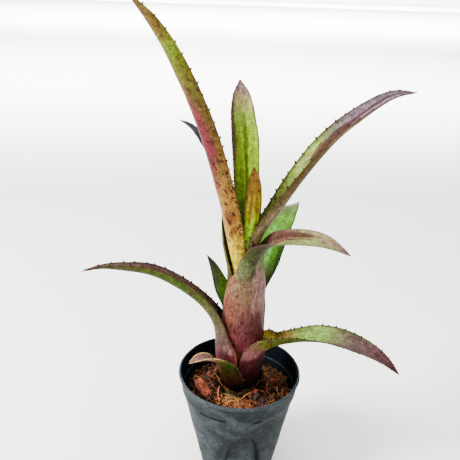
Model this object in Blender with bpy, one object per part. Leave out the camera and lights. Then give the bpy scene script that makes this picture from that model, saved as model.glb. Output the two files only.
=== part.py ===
"""A young tank bromeliad in a black nursery pot.

Frame: origin at the centre of the pot's underside, +Z up, +X to the right and -Y towards the
side that is seen in front. Sizes below are in millimetres, and MM turns them into Blender's metres.
"""

import random
from collections import namedtuple
from math import cos, exp, pi, radians, sin, sqrt

import bmesh
import bpy
import numpy as np

MM = 0.001

# The pot: a rolled lip, a collar, a shoulder below it and a tapered body with four moulded arches
POT_HEIGHT = 90.0
RIM_RADIUS = 50.0
COLLAR_FOOT = 75.0
COLLAR_FOOT_RADIUS = 47.2
SHOULDER_RADIUS = 46.6
SHOULDER_FOOT = 61.0
BODY_TOP_RADIUS = 43.6
BODY_FOOT_RADIUS = 32.3
COLLAR_STEP = 0.6
FOOT_BEVEL = 1.0
WALL = 1.0
POT_SEGMENTS = 48
ARCHES = 4
ARCH_FIRST = -82.0
ARCH_TOP = 57.0
ARCH_FOOT = -2.0
ARCH_HALF_ANGLE = 25.0
ARCH_TOP_SHARE = 0.1
ARCH_DEPTH = 1.8
ARCH_ROWS = 5
ARCH_COLUMNS = 4
DRAIN_HOLES = 6
DRAIN_RADIUS = 3.0
DRAIN_CIRCLE = 17.0
DRAIN_SEGMENTS = 12

# The rolled lip from outside to inside, as (radius, height) from the rim's widest radius and the pot's top
LIP = [(-1.4, -3.2), (-0.3, -2.8), (0.0, -1.8), (-0.4, -0.4), (-1.4, 0.0), (-2.4, -0.8)]

# How far a cutting solid stands out of the face it cuts
CUT_MARGIN = 3.0

# Clearance between neighbouring solids
GAP = 0.3

# The growing mix: its level at the wall, the heap round the plant, and the husk chips in it
MIX_LEVEL = 70.5
MIX_HEAP = 5.0
MIX_HEAP_RADIUS = 21.0
MIX_HEAP_WIDTH = 7.5
MIX_BUMP = 1.1
MIX_BUMP_EASE = 10.0
MIX_WAVE_X = 0.23
MIX_WAVE_Y = 0.31
MIX_WAVES_ROUND = 7
MIX_WAVE_TWIST = 0.2
MIX_ROUND_SHARE = 0.6
MIX_RINGS = 6
MIX_SEGMENTS = 36
MIX_HOLE_FOOT = 58.0
CHIP_SEED = 11
CHIP_RISE = 0.1
CHIP_LENGTH_SHARES = (0.75, 1.1)
CHIP_WIDTH_SHARES = (0.7, 1.15)
CHIP_HEIGHT_SHARES = (0.8, 1.1)
SMALL_CHIPS = 16
SMALL_CHIP_RADII = (24, 36)
SMALL_CHIP_LENGTHS = (5, 9)
SMALL_CHIP_WIDTHS = (3, 5)
SMALL_CHIP_HEIGHTS = (2.5, 4)
SMALL_CHIP_TILTS = (-20, 20)

# The short stem on which every leaf base is set
STEM_FOOT = 58.6
STEM_FOOT_RADIUS = 7.0
STEM_SHOULDER = 72.0
STEM_SHOULDER_FOOT = 70.0
STEM_SHOULDER_RADIUS = 12.5
STEM_TOP = 106.0
STEM_TOP_RADIUS = 2.4
STEM_SEGMENTS = 24

# Leaf blades, with how far below the end of its sheath a leaf starts to come free, and over what length
BLADE_MIDDLE = 1.0
BLADE_EDGE = 0.6
SHEATH_STEP = 12.0
FREE_BEFORE = 6.0
FREE_LENGTH = 22.0
TANGENT_REACH = 0.5
TIP_LENGTH = 1.5
TOOTH_HEIGHT = 1.6
TOOTH_BASE = 1.8
TOOTH_FORWARD = 0.6

# The sheaths nest like the layers of a leek. Layer -1 is the dried outermost one. Each layer springs
# from the stem at its own height and swells to its own radius, and the whole tube narrows at its neck.
LAYER_START = {-1: 73.5, 0: 75.5, 1: 77.5, 2: 80.5, 3: 84.0, 4: 88.0, 5: 91.5, 6: 95.0, 7: 98.5, 8: 102.0}
LAYER_RADIUS = {-1: 23.8, 0: 21.9, 1: 20.7, 2: 18.9, 3: 17.3, 4: 13.6, 5: 12.1, 6: 10.6, 7: 9.1, 8: 7.6}
LAYER_SWELL = 14.0
SHEATH_CLEARANCE = 0.9
NECK_FROM = 158.0
NECK_TO = 225.0
NECK_SHARE = 0.22

# The dried sheath: a thin cup round the foot of the plant, torn lower in front and behind. Each tear wave
# has its height, its number of waves round the plant and its phase.
DRY_THICKNESS = 0.8
DRY_TOP = 82.5
DRY_SWING = 4.5
DRY_SWING_PHASE = 0.3
TEAR_WAVES = [(0.9, 5, 1.0), (0.6, 11, 0.0)]
DRY_RINGS = 3
DRY_SEGMENTS = 36

# Edges sharper than this many degrees are shaded sharp
SHARP_ANGLE = 35.0


def stem_radius(z):
    share = (z - STEM_SHOULDER) / (STEM_TOP - STEM_SHOULDER)
    return STEM_SHOULDER_RADIUS + share * (STEM_TOP_RADIUS - STEM_SHOULDER_RADIUS)


def layer_radius(layer, z):
    """Radius of the middle of a sheath layer at height z."""
    start = LAYER_START[layer]
    first = stem_radius(start) + SHEATH_CLEARANCE
    full = LAYER_RADIUS[layer]
    neck = min(max((z - NECK_FROM) / (NECK_TO - NECK_FROM), 0.0), 1.0)
    return (full - (full - first) * exp(-(z - start) / LAYER_SWELL)) * (1 - NECK_SHARE * neck)


# A station is a place on a leaf's midrib, with the half width of the flattened leaf there, the angle by
# which each half curls up, and the angle by which the blade is rolled about its own length.
Station = namedtuple("Station", "x y z half cup roll")

# A leaf has its sheath as pairs of height and wrap angle, its blade as stations, and a row of faces
# every step along the blade, with a tooth on each margin of each row.
Leaf = namedtuple("Leaf", "name material azimuth layer columns step sheath blade")

LEAVES = [
    Leaf("leaf_tall_left", "leaf_tan", 232, 6, 8, 8.5,
         [(95.5, 75), (125, 75), (160, 66), (188, 54)],
         [Station(-9, -10, 205, 9.8, 60, 0), Station(-12.2, -12, 223, 10.2, 60, 0),
          Station(-18.4, -15.2, 250, 10.2, 58, 0), Station(-30.6, -21, 292.5, 9.7, 54, 0),
          Station(-44.8, -26.5, 328, 8.5, 50, 0), Station(-61, -32, 358, 5.6, 46, 0),
          Station(-74, -37, 375, 0.5, 30, 0)]),
    Leaf("leaf_upright_back", "leaf_green", 85, 7, 8, 8.0,
         [(99, 80), (125, 80), (160, 68), (195, 64)],
         [Station(1.3, 9, 225, 10.3, 60, 0), Station(-0.7, 10.5, 257.5, 11, 55, 0),
          Station(-2.3, 12.5, 279.5, 11, 50, 0), Station(-4.8, 14, 297, 9.6, 46, 0),
          Station(-6.6, 15, 310.5, 6.6, 38, 0), Station(-8.2, 16, 321, 0.5, 30, 0)]),
    Leaf("leaf_young_centre", "leaf_tan", 290, 8, 6, 8.0,
         [(102.5, 85), (130, 85), (170, 85), (198, 85)],
         [Station(5.3, -7, 215, 9.4, 85, 0), Station(6.2, -8.2, 232, 9.9, 84, 0),
          Station(6.4, -8, 248, 7.6, 75, 0), Station(4.2, -7, 265, 0.5, 40, 0)]),
    Leaf("leaf_arching_right", "leaf_tan", 352, 5, 8, 9.0,
         [(92, 75), (120, 75), (160, 75), (188, 70)],
         [Station(10, -2, 201, 14.4, 65, 0), Station(22.3, 1.6, 225.6, 14.3, 82, 8),
          Station(34.6, 4, 246.3, 13.5, 85, 18), Station(48.3, 6, 267.2, 13, 82, 24),
          Station(64.3, 9.5, 286.4, 11.5, 76, 28), Station(80.9, 12.5, 300.6, 9.3, 68, 33),
          Station(102, 17, 313.5, 5, 55, 38), Station(116, 20, 315.5, 0.5, 30, 40)]),
    Leaf("leaf_back_left", "leaf_green", 155, 4, 8, 9.0,
         [(88.5, 70), (120, 72), (160, 72), (184, 66)],
         [Station(-15, 8, 200, 12, 52, 0), Station(-16.3, 12, 218, 10.2, 46, 0),
          Station(-19.4, 17, 242.5, 8.3, 44, 0), Station(-26.5, 21, 261, 6.5, 42, 0),
          Station(-34, 24, 272.7, 5.8, 38, 0), Station(-43.5, 27, 284, 3.4, 34, 0),
          Station(-52.5, 29, 288.5, 0.5, 25, 0)]),
    Leaf("leaf_broad_back_right", "leaf_green", 52, 2, 8, 8.0,
         [(81, 42), (100, 40), (130, 40), (146, 40)],
         [Station(13, 17, 160, 8.8, 34, 0), Station(20, 22.5, 176, 10.8, 38, 0),
          Station(24, 28.5, 190.5, 11.6, 34, 0), Station(28.5, 37, 204, 12, 26, 0),
          Station(32.3, 48, 212.3, 11.3, 20, 0), Station(35.3, 62.5, 212.3, 9.6, 16, 0),
          Station(38, 78, 203.5, 6.6, 14, 0), Station(40.5, 92, 189, 0.5, 15, 0)]),
    Leaf("leaf_front_right", "leaf_purple", 325, 3, 12, 6.5,
         [(84.5, 100), (105, 112), (135, 115), (160, 110), (180, 92)],
         [Station(11.8, -9.7, 191, 18.2, 82, 0), Station(13.7, -12.7, 201, 15.4, 74, 0),
          Station(19, -16, 209.5, 13, 62, 8), Station(28.5, -20.5, 215.6, 10, 50, 22),
          Station(41.5, -25, 219, 8.5, 42, 30), Station(55, -29, 219.3, 6.3, 38, 32),
          Station(72.5, -34, 212.8, 0.5, 25, 32)]),
    Leaf("leaf_low_left", "leaf_purple", 188, 1, 8, 7.0,
         [(78, 75), (95, 78), (112, 74), (124, 66)],
         [Station(-22, -5, 136, 16, 75, 0), Station(-26.5, -6.5, 146, 12.9, 83, 5),
          Station(-36, -8.5, 158, 12, 92, 12), Station(-53, -12, 172.5, 11.5, 95, 15),
          Station(-70, -15, 182, 10, 95, 15), Station(-87.5, -18, 186, 7.5, 85, 15),
          Station(-104.5, -20, 187.5, 4, 70, 15), Station(-119, -22, 185, 0.5, 40, 15)]),
    Leaf("leaf_short_back_left", "leaf_green", 150, 3, 6, 8.0,
         [(84.5, 42), (104, 42), (132, 42)],
         [Station(-13.5, 9.8, 144, 9.2, 42, 0), Station(-18.8, 11.7, 158, 9.6, 38, 0),
          Station(-23.5, 14, 173, 5.6, 30, 0), Station(-29.4, 16, 185, 0.5, 25, 0)]),
    Leaf("leaf_low_right", "leaf_purple", 343, 1, 8, 6.0,
         [(78, 71), (92, 74.5), (106, 75), (111, 73)],
         [Station(22.1, -7.8, 116.5, 21.5, 74, -16), Station(26, -10.4, 120.6, 14.6, 80, -24),
          Station(31.5, -13, 124.8, 12.4, 82, -19), Station(43, -18, 131.8, 11.4, 79, -11),
          Station(58, -22, 137.4, 11, 64, 3), Station(76, -26, 138.2, 10.1, 47, 10),
          Station(92.5, -30, 134.2, 8.5, 42, 10), Station(107, -34, 128, 5, 38, 10),
          Station(118, -38, 119.8, 0.5, 25, 10)]),
    Leaf("leaf_stub_front_left", "leaf_tan", 248, 0, 6, 5.5,
         [(76, 30), (84, 32), (92, 32)],
         [Station(-8, -19.5, 99.5, 9.5, 28, 0), Station(-11, -22, 107, 8.3, 34, -5),
          Station(-17, -24, 112.5, 7.5, 40, -15), Station(-24.5, -25, 115.5, 7, 50, -35),
          Station(-32, -26, 115, 5.5, 60, -50), Station(-38.5, -26, 112, 1.5, 60, -50)]),
]

# Husk chips placed by eye: centre, length, width, height, turn and tilt
Chip = namedtuple("Chip", "x y length width height turn tilt")
LARGE_CHIPS = [
    Chip(-28, -15, 17, 10, 6, -35, 12),
    Chip(21, -21, 12, 9, 6, 20, -10),
    Chip(15, -28, 9, 6, 5, 70, 8),
    Chip(28, -12, 8, 5, 4, 110, 15),
    Chip(-31, 8, 9, 6, 5, 60, -12),
]


def spline_through(knots, values, at):
    """A natural cubic spline through values at the knots, read at the given places."""
    n = len(knots)
    values = np.asarray(values, float)
    h = np.diff(knots)
    slope = np.diff(values, axis=0) / h[:, None]
    matrix = np.eye(n)
    right = np.zeros_like(values)
    for i in range(1, n - 1):
        matrix[i, i - 1:i + 2] = h[i - 1], 2 * (h[i - 1] + h[i]), h[i]
        right[i] = 6 * (slope[i] - slope[i - 1])
    bend = np.linalg.solve(matrix, right)
    i = np.clip(np.searchsorted(knots, at, side="right") - 1, 0, n - 2)
    left = (at - knots[i])[:, None]
    span = h[i][:, None]
    first = slope[i] - span * (2 * bend[i] + bend[i + 1]) / 6
    return (values[i] + first * left + bend[i] * left ** 2 / 2
            + (bend[i + 1] - bend[i]) * left ** 3 / (6 * span))


def eased_through(knots, values, at):
    """A curve through values at the knots that never swings past them."""
    values = np.asarray(values, float)
    h = np.diff(knots)
    slope = np.diff(values) / h
    tangent = np.zeros_like(values)
    for i in range(1, len(values) - 1):
        if slope[i - 1] * slope[i] > 0:
            a = 2 * h[i] + h[i - 1]
            b = h[i] + 2 * h[i - 1]
            tangent[i] = (a + b) / (a / slope[i - 1] + b / slope[i])
    tangent[0], tangent[-1] = slope[0], slope[-1]
    i = np.clip(np.searchsorted(knots, at, side="right") - 1, 0, len(h) - 1)
    t = (at - knots[i]) / h[i]
    return (values[i] * (1 + 2 * t) * (1 - t) ** 2 + tangent[i] * h[i] * t * (1 - t) ** 2
            + values[i + 1] * t ** 2 * (3 - 2 * t) + tangent[i + 1] * h[i] * t ** 2 * (t - 1))


def unit(vectors):
    return vectors / np.linalg.norm(vectors, axis=-1, keepdims=True)


def sheath_stations(azimuth, layer, heights_and_wraps):
    """Stations of a sheath that wraps the stem by the given angle to each side."""
    stations = []
    for z, wrap in heights_and_wraps:
        r = layer_radius(layer, z)
        a = radians(azimuth)
        stations.append(Station(r * cos(a), r * sin(a), z, r * radians(wrap), wrap, 0.0))
    return stations


def leaf_surfaces(leaf):
    """The leaf's rows from base to tip: points of the upper and lower faces, and how they lie."""
    stations = sheath_stations(leaf.azimuth, leaf.layer, leaf.sheath) + leaf.blade
    points = np.array([(s.x, s.y, s.z) for s in stations], float)
    knots = np.concatenate([[0], np.cumsum(np.linalg.norm(np.diff(points, axis=0), axis=1))])
    sheath_end = knots[len(leaf.sheath) - 1]
    length = knots[-1] - sheath_end
    in_sheath = np.linspace(0, sheath_end, max(2, round(sheath_end / SHEATH_STEP)) + 1)
    in_blade = sheath_end + np.linspace(0, length, round(length / leaf.step) + 1)[1:]
    at = np.concatenate([in_sheath, in_blade])
    middle = spline_through(knots, points, at)
    along = unit(spline_through(knots, points, np.minimum(at + TANGENT_REACH, knots[-1]))
                 - spline_through(knots, points, np.maximum(at - TANGENT_REACH, 0)))
    half = eased_through(knots, [s.half for s in stations], at)
    cup = np.radians(eased_through(knots, [s.cup for s in stations], at))
    roll = np.radians(eased_through(knots, [s.roll for s in stations], at))

    # Sheath rows lie flat round the plant's axis, and blade rows stand square to the midrib.
    free = np.clip((at - sheath_end + FREE_BEFORE) / FREE_LENGTH, 0, 1)
    free = free * free * (3 - 2 * free)
    square = unit((1 - free)[:, None] * np.array([0, 0, 1.0]) + free[:, None] * along)
    inward = np.array([-cos(radians(leaf.azimuth)), -sin(radians(leaf.azimuth)), 0.0])
    normals, sides = [], []
    for s, turn in zip(square, roll):
        inward = unit(inward - (inward @ s) * s)
        side = np.cross(s, inward)
        normals.append(inward * cos(turn) + side * sin(turn))
        sides.append(side * cos(turn) - inward * sin(turn))
    normals, sides = np.array(normals)[:, None], np.array(sides)[:, None]
    curl = (1 - free) / np.hypot(middle[:, 0], middle[:, 1]) + free * cup / half

    across = np.linspace(-1, 1, leaf.columns + 1)
    angle = (half * curl)[:, None] * across
    rise = ((1 - np.cos(angle)) / curl[:, None])[..., None]
    reach = (np.sin(angle) / curl[:, None])[..., None]
    surface = middle[:, None] + normals * rise + sides * reach
    facing = normals * np.cos(angle)[..., None] - sides * np.sin(angle)[..., None]
    outward = normals * np.sin(angle)[..., None] + sides * np.cos(angle)[..., None]
    thick = (BLADE_EDGE + (BLADE_MIDDLE - BLADE_EDGE) * (1 - across ** 2))[:, None] / 2
    in_free_blade = at > sheath_end
    return surface + facing * thick, surface - facing * thick, outward, square, in_free_blade


def mesh_from(name, points, faces):
    """A mesh in metres from points in millimetres, with its faces turned outwards."""
    mesh = bpy.data.meshes.new(name)
    mesh.from_pydata([tuple(value * MM for value in point) for point in points], [], faces)
    bm = bmesh.new()
    bm.from_mesh(mesh)
    bmesh.ops.recalc_face_normals(bm, faces=bm.faces)
    bm.to_mesh(mesh)
    bm.free()
    return mesh


def leaf_mesh(leaf):
    """Both faces of the leaf are split into triangles alike, and each blade row has two teeth."""
    upper, lower, outward, square, in_free_blade = leaf_surfaces(leaf)
    rows, columns = upper.shape[:2]
    last = columns - 1
    points = [tuple(p) for grid in (upper, lower) for row in grid for p in row]
    faces = []

    def vertex(sheet, i, j):
        return (sheet * rows + i) * columns + j

    def fan(ring):
        faces.extend((ring[0], one, other) for one, other in zip(ring[1:], ring[2:]))

    for i in range(rows - 1):
        for sheet in (0, 1):
            for j in range(1, last - 1):
                fan([vertex(sheet, i, j), vertex(sheet, i, j + 1), vertex(sheet, i + 1, j + 1),
                     vertex(sheet, i + 1, j)])
        has_tooth = in_free_blade[i] and i < rows - 2
        for edge, inner, sign in ((0, 1, -1), (last, last - 1, 1)):
            chains = [[vertex(sheet, i, edge), vertex(sheet, i + 1, edge)] for sheet in (0, 1)]
            if has_tooth:
                share = TOOTH_BASE / 2 / np.linalg.norm(upper[i + 1, edge] - upper[i, edge])
                for sheet, grid in enumerate((upper, lower)):
                    start, end = grid[i, edge], grid[i + 1, edge]
                    for place, part in ((1, 0.5 - share), (2, 0.5 + share)):
                        chains[sheet].insert(place, len(points))
                        points.append(tuple(start + (end - start) * part))
                foot = (upper[i, edge] + upper[i + 1, edge] + lower[i, edge] + lower[i + 1, edge]) / 4
                tip = foot + sign * outward[i, edge] * TOOTH_HEIGHT + square[i] * TOOTH_FORWARD
                base = [chains[0][1], chains[0][2], chains[1][2], chains[1][1]]
                faces.extend((base[k], base[(k + 1) % 4], len(points)) for k in range(4))
                points.append(tuple(tip))
            for sheet in (0, 1):
                fan([vertex(sheet, i, inner), *chains[sheet], vertex(sheet, i + 1, inner)])
            for k in range(len(chains[0]) - 1):
                if not (has_tooth and k == 1):
                    fan([chains[0][k], chains[0][k + 1], chains[1][k + 1], chains[1][k]])
    for j in range(last):
        fan([vertex(0, 0, j), vertex(0, 0, j + 1), vertex(1, 0, j + 1), vertex(1, 0, j)])
    ring = [vertex(0, rows - 1, j) for j in range(columns)]
    ring += [vertex(1, rows - 1, j) for j in reversed(range(columns))]
    for k, first in enumerate(ring):
        faces.append((first, ring[(k + 1) % len(ring)], len(points)))
    tip = (upper[-1].mean(axis=0) + lower[-1].mean(axis=0)) / 2 + square[-1] * TIP_LENGTH
    points.append(tuple(tip))
    return mesh_from(leaf.name, points, faces)


def turned_mesh(name, profile, segments, height=None):
    """A solid turned from (radius, height) pairs. A profile that starts on the axis also ends there,
    and any other one is a closed ring. The height function, if given, raises points by angle."""
    on_axis = profile[0][0] == 0
    rings = profile[1:-1] if on_axis else profile
    points = []
    for k, (r, z) in enumerate(rings):
        for s in range(segments):
            a = 2 * pi * s / segments
            top = height(k, r, z, a) if height else z
            points.append((r * cos(a), r * sin(a), top))
    faces = []
    pairs = range(len(rings) - 1) if on_axis else range(len(rings))
    for k in pairs:
        after = (k + 1) % len(rings)
        for s in range(segments):
            t = (s + 1) % segments
            faces.append((k * segments + s, k * segments + t, after * segments + t, after * segments + s))
    if on_axis:
        for end, ring in ((profile[0], 0), (profile[-1], len(rings) - 1)):
            for s in range(segments):
                faces.append((ring * segments + s, ring * segments + (s + 1) % segments, len(points)))
            points.append((0, 0, end[1]))
    return mesh_from(name, points, faces)


def body_radius(z):
    """Outer radius of the pot's tapered body below its shoulder."""
    return BODY_FOOT_RADIUS + (BODY_TOP_RADIUS - BODY_FOOT_RADIUS) * z / SHOULDER_FOOT


def pot_side(inset):
    """The pot's side from foot to collar, moved in by the inset, as (radius, height) pairs."""
    foot = inset + FOOT_BEVEL
    return [(body_radius(0) - FOOT_BEVEL - inset, inset), (body_radius(foot) - inset, foot),
            (body_radius(SHOULDER_FOOT) - inset, SHOULDER_FOOT),
            (SHOULDER_RADIUS - inset, COLLAR_FOOT - COLLAR_STEP), (COLLAR_FOOT_RADIUS - inset, COLLAR_FOOT)]


def arch_cutters(inset):
    """Solids that press the four arches into the pot's side, grown by the inset."""
    rows, columns = ARCH_ROWS, ARCH_COLUMNS
    meshes = []
    for arch in range(ARCHES):
        centre = radians(ARCH_FIRST + 360 * arch / ARCHES)
        points, faces = [], []
        for depth in (-CUT_MARGIN, ARCH_DEPTH + inset):
            for i in range(rows + 1):
                share = sin(pi / 2 * i / rows)
                z = ARCH_FOOT + (ARCH_TOP + inset - ARCH_FOOT) * share
                spread = max(sqrt(1 - share * share), ARCH_TOP_SHARE) * radians(ARCH_HALF_ANGLE)
                spread += inset / body_radius(0)
                for j in range(columns + 1):
                    a = centre + spread * (2 * j / columns - 1)
                    r = body_radius(z) - depth
                    points.append((r * cos(a), r * sin(a), z))
        wide = columns + 1
        sheet = (rows + 1) * wide
        for i in range(rows):
            for j in range(columns):
                quad = [i * wide + j, i * wide + j + 1, (i + 1) * wide + j + 1, (i + 1) * wide + j]
                for first in (0, sheet):
                    faces.append((first + quad[0], first + quad[1], first + quad[2]))
                    faces.append((first + quad[0], first + quad[2], first + quad[3]))
        border = [j for j in range(wide)] + [i * wide + columns for i in range(1, rows + 1)]
        border += [rows * wide + j for j in reversed(range(columns))]
        border += [i * wide for i in reversed(range(1, rows))]
        for k, one in enumerate(border):
            other = border[(k + 1) % len(border)]
            faces.append((one, other, other + sheet, one + sheet))
        meshes.append(mesh_from("arch_cutter", points, faces))
    return meshes


def new_object(name, mesh, material):
    mesh.materials.clear()
    mesh.materials.append(material)
    obj = bpy.data.objects.new(name, mesh)
    bpy.context.scene.collection.objects.link(obj)
    return obj


def combine(obj, operation, meshes):
    """Cut meshes out of an object, or join them to it, in one Boolean on a collection."""
    tools = bpy.data.collections.new("tools")
    bpy.context.scene.collection.children.link(tools)
    for mesh in meshes:
        tools.objects.link(bpy.data.objects.new("tool", mesh))
    modifier = obj.modifiers.new("combine", "BOOLEAN")
    modifier.operation = operation
    modifier.operand_type = "COLLECTION"
    modifier.collection = tools
    result = bpy.data.meshes.new_from_object(obj.evaluated_get(bpy.context.evaluated_depsgraph_get()))
    material = obj.data.materials[0]
    obj.modifiers.clear()
    obj.data = result
    result.materials.clear()
    result.materials.append(material)
    for tool in list(tools.objects):
        bpy.data.objects.remove(tool)
    bpy.data.collections.remove(tools)


def make_pot(material):
    lip = [(RIM_RADIUS + r, POT_HEIGHT + z) for r, z in LIP]
    top = POT_HEIGHT + CUT_MARGIN
    outer = [(0, 0)] + pot_side(0) + lip[:5] + [(0, POT_HEIGHT)]
    pot = new_object("pot", turned_mesh("pot", outer, POT_SEGMENTS), material)
    combine(pot, "DIFFERENCE", arch_cutters(0))
    inner = [(0, WALL)] + pot_side(WALL) + [lip[5], (lip[5][0], top), (0, top)]
    cavity = new_object("cavity", turned_mesh("cavity", inner, POT_SEGMENTS), material)
    combine(cavity, "DIFFERENCE", arch_cutters(WALL))
    holes = []
    for k in range(DRAIN_HOLES):
        a = 2 * pi * (k + 0.5) / DRAIN_HOLES
        drill = [(0, -CUT_MARGIN), (DRAIN_RADIUS, -CUT_MARGIN), (DRAIN_RADIUS, WALL + CUT_MARGIN),
                 (0, WALL + CUT_MARGIN)]
        hole = turned_mesh("hole", drill, DRAIN_SEGMENTS)
        for corner in hole.vertices:
            corner.co.x += DRAIN_CIRCLE * cos(a) * MM
            corner.co.y += DRAIN_CIRCLE * sin(a) * MM
        holes.append(hole)
    combine(pot, "DIFFERENCE", [cavity.data] + holes)
    bpy.data.objects.remove(cavity)


def mix_height(r, a):
    """Height of the growing mix: level at the wall, heaped round the plant, and uneven."""
    heap = MIX_HEAP * exp(-((r - MIX_HEAP_RADIUS) / MIX_HEAP_WIDTH) ** 2)
    uneven = sin(MIX_WAVE_X * r * cos(a) + 1) * cos(MIX_WAVE_Y * r * sin(a))
    uneven += MIX_ROUND_SHARE * sin(MIX_WAVES_ROUND * a + MIX_WAVE_TWIST * r)
    return MIX_LEVEL + heap + MIX_BUMP * uneven * min((r - STEM_SHOULDER_RADIUS) / MIX_BUMP_EASE, 1)


def chip_mesh(chip, rng):
    """A husk chip: a block with uneven corners, half sunk in the mix."""
    block = bmesh.new()
    bmesh.ops.create_cube(block, size=1.0)
    bmesh.ops.triangulate(block, faces=block.faces)
    turn, tilt = radians(chip.turn), radians(chip.tilt)
    ground = mix_height(sqrt(chip.x ** 2 + chip.y ** 2), np.arctan2(chip.y, chip.x))
    z = ground + CHIP_RISE * chip.height
    for corner in block.verts:
        x = corner.co.x * chip.length * rng.uniform(*CHIP_LENGTH_SHARES)
        y = corner.co.y * chip.width * rng.uniform(*CHIP_WIDTH_SHARES)
        up = corner.co.z * chip.height * rng.uniform(*CHIP_HEIGHT_SHARES) + x * sin(tilt)
        corner.co = ((chip.x + x * cos(turn) - y * sin(turn)) * MM,
                     (chip.y + x * sin(turn) + y * cos(turn)) * MM, (z + up) * MM)
    mesh = bpy.data.meshes.new("chip")
    block.to_mesh(mesh)
    block.free()
    return mesh


def make_mix(material):
    side = pot_side(WALL + GAP)[:4]
    share = (MIX_LEVEL - SHOULDER_FOOT) / (COLLAR_FOOT - COLLAR_STEP - SHOULDER_FOOT)
    wall = side[2][0] + share * (side[3][0] - side[2][0])
    hole = stem_radius(STEM_SHOULDER) + GAP
    profile = [(0, side[0][1])] + side[:3]
    first_top_ring = len(profile) - 1
    for k in range(MIX_RINGS + 1):
        profile.append((wall + (hole - wall) * k / MIX_RINGS, MIX_LEVEL))
    profile += [(hole, STEM_SHOULDER_FOOT), (STEM_FOOT_RADIUS + GAP, MIX_HOLE_FOOT), (0, MIX_HOLE_FOOT)]
    last_top_ring = first_top_ring + MIX_RINGS

    def raised(ring, r, z, a):
        if ring == first_top_ring:
            return MIX_LEVEL
        return mix_height(r, a) if first_top_ring < ring <= last_top_ring else z

    mix = new_object("growing_mix", turned_mesh("growing_mix", profile, MIX_SEGMENTS, raised), material)
    combine(mix, "DIFFERENCE", arch_cutters(WALL + GAP))
    rng = random.Random(CHIP_SEED)
    chips = [chip_mesh(chip, rng) for chip in LARGE_CHIPS]
    for _ in range(SMALL_CHIPS):
        r, a = rng.uniform(*SMALL_CHIP_RADII), rng.uniform(0, 2 * pi)
        chip = Chip(r * cos(a), r * sin(a), rng.uniform(*SMALL_CHIP_LENGTHS),
                    rng.uniform(*SMALL_CHIP_WIDTHS), rng.uniform(*SMALL_CHIP_HEIGHTS),
                    rng.uniform(0, 180), rng.uniform(*SMALL_CHIP_TILTS))
        chips.append(chip_mesh(chip, rng))
    combine(mix, "UNION", chips)


def make_stem(material):
    profile = [(0, STEM_FOOT), (STEM_FOOT_RADIUS, STEM_FOOT), (STEM_SHOULDER_RADIUS, STEM_SHOULDER_FOOT),
               (STEM_SHOULDER_RADIUS, STEM_SHOULDER), (STEM_TOP_RADIUS, STEM_TOP), (0, STEM_TOP)]
    new_object("stem", turned_mesh("stem", profile, STEM_SEGMENTS), material)


def make_dry_sheath(material):
    """A cup between two layer surfaces, whose top edge rises and falls round the plant."""
    half = DRY_THICKNESS / 2
    start = LAYER_START[-1]

    def cup_height(a):
        torn = sum(height * sin(waves * a + phase) for height, waves, phase in TEAR_WAVES)
        return DRY_TOP + DRY_SWING * cos(2 * a - DRY_SWING_PHASE) + torn

    points = []
    for offset in (-half, half):
        for k in range(DRY_RINGS + 1):
            for s in range(DRY_SEGMENTS):
                a = 2 * pi * s / DRY_SEGMENTS
                z = start + (cup_height(a) - start) * k / DRY_RINGS
                r = layer_radius(-1, z) + offset
                points.append((r * cos(a), r * sin(a), z))
    sheet = (DRY_RINGS + 1) * DRY_SEGMENTS
    faces = []
    for k in range(DRY_RINGS):
        for s in range(DRY_SEGMENTS):
            t = (s + 1) % DRY_SEGMENTS
            quad = [k * DRY_SEGMENTS + s, k * DRY_SEGMENTS + t, (k + 1) * DRY_SEGMENTS + t,
                    (k + 1) * DRY_SEGMENTS + s]
            for first in (0, sheet):
                faces.append((first + quad[0], first + quad[1], first + quad[2]))
                faces.append((first + quad[0], first + quad[2], first + quad[3]))
    for k in (0, DRY_RINGS):
        for s in range(DRY_SEGMENTS):
            one, other = k * DRY_SEGMENTS + s, k * DRY_SEGMENTS + (s + 1) % DRY_SEGMENTS
            faces.append((one, other, other + sheet, one + sheet))
    new_object("dry_sheath", mesh_from("dry_sheath", points, faces), material)


def make_material(name, colour, roughness):
    made = bpy.data.materials.new(name)
    made.use_nodes = True
    shader = made.node_tree.nodes["Principled BSDF"]
    shader.inputs["Base Color"].default_value = (*colour, 1)
    shader.inputs["Roughness"].default_value = roughness
    return made


def clear_scene():
    for obj in list(bpy.data.objects):
        bpy.data.objects.remove(obj)


def main():
    clear_scene()
    make_pot(make_material("black_plastic", (0.035, 0.04, 0.045), 0.5))
    make_mix(make_material("husk_mix", (0.12, 0.05, 0.025), 0.9))
    make_stem(make_material("stem_wood", (0.3, 0.2, 0.08), 0.7))
    make_dry_sheath(make_material("dry_leaf", (0.4, 0.27, 0.1), 0.7))
    leaf_materials = {
        "leaf_tan": make_material("leaf_tan", (0.32, 0.22, 0.06), 0.45),
        "leaf_green": make_material("leaf_green", (0.16, 0.28, 0.05), 0.4),
        "leaf_purple": make_material("leaf_purple", (0.26, 0.12, 0.12), 0.45),
    }
    for leaf in LEAVES:
        new_object(leaf.name, leaf_mesh(leaf), leaf_materials[leaf.material])
    for obj in bpy.data.objects:
        obj.data.shade_smooth()
        obj.data.set_sharp_from_angle(angle=radians(SHARP_ANGLE))


main()
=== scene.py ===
"""The looks of a young tank bromeliad in a black nursery pot.

Sizes are in millimetres along the frame's axes, and MM turns them into metres.
"""

import random
from collections import namedtuple
from math import ceil, cos, pi, radians, sin, sqrt

import bpy
import numpy as np
from mathutils import Matrix, Vector
from mathutils.kdtree import KDTree


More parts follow.
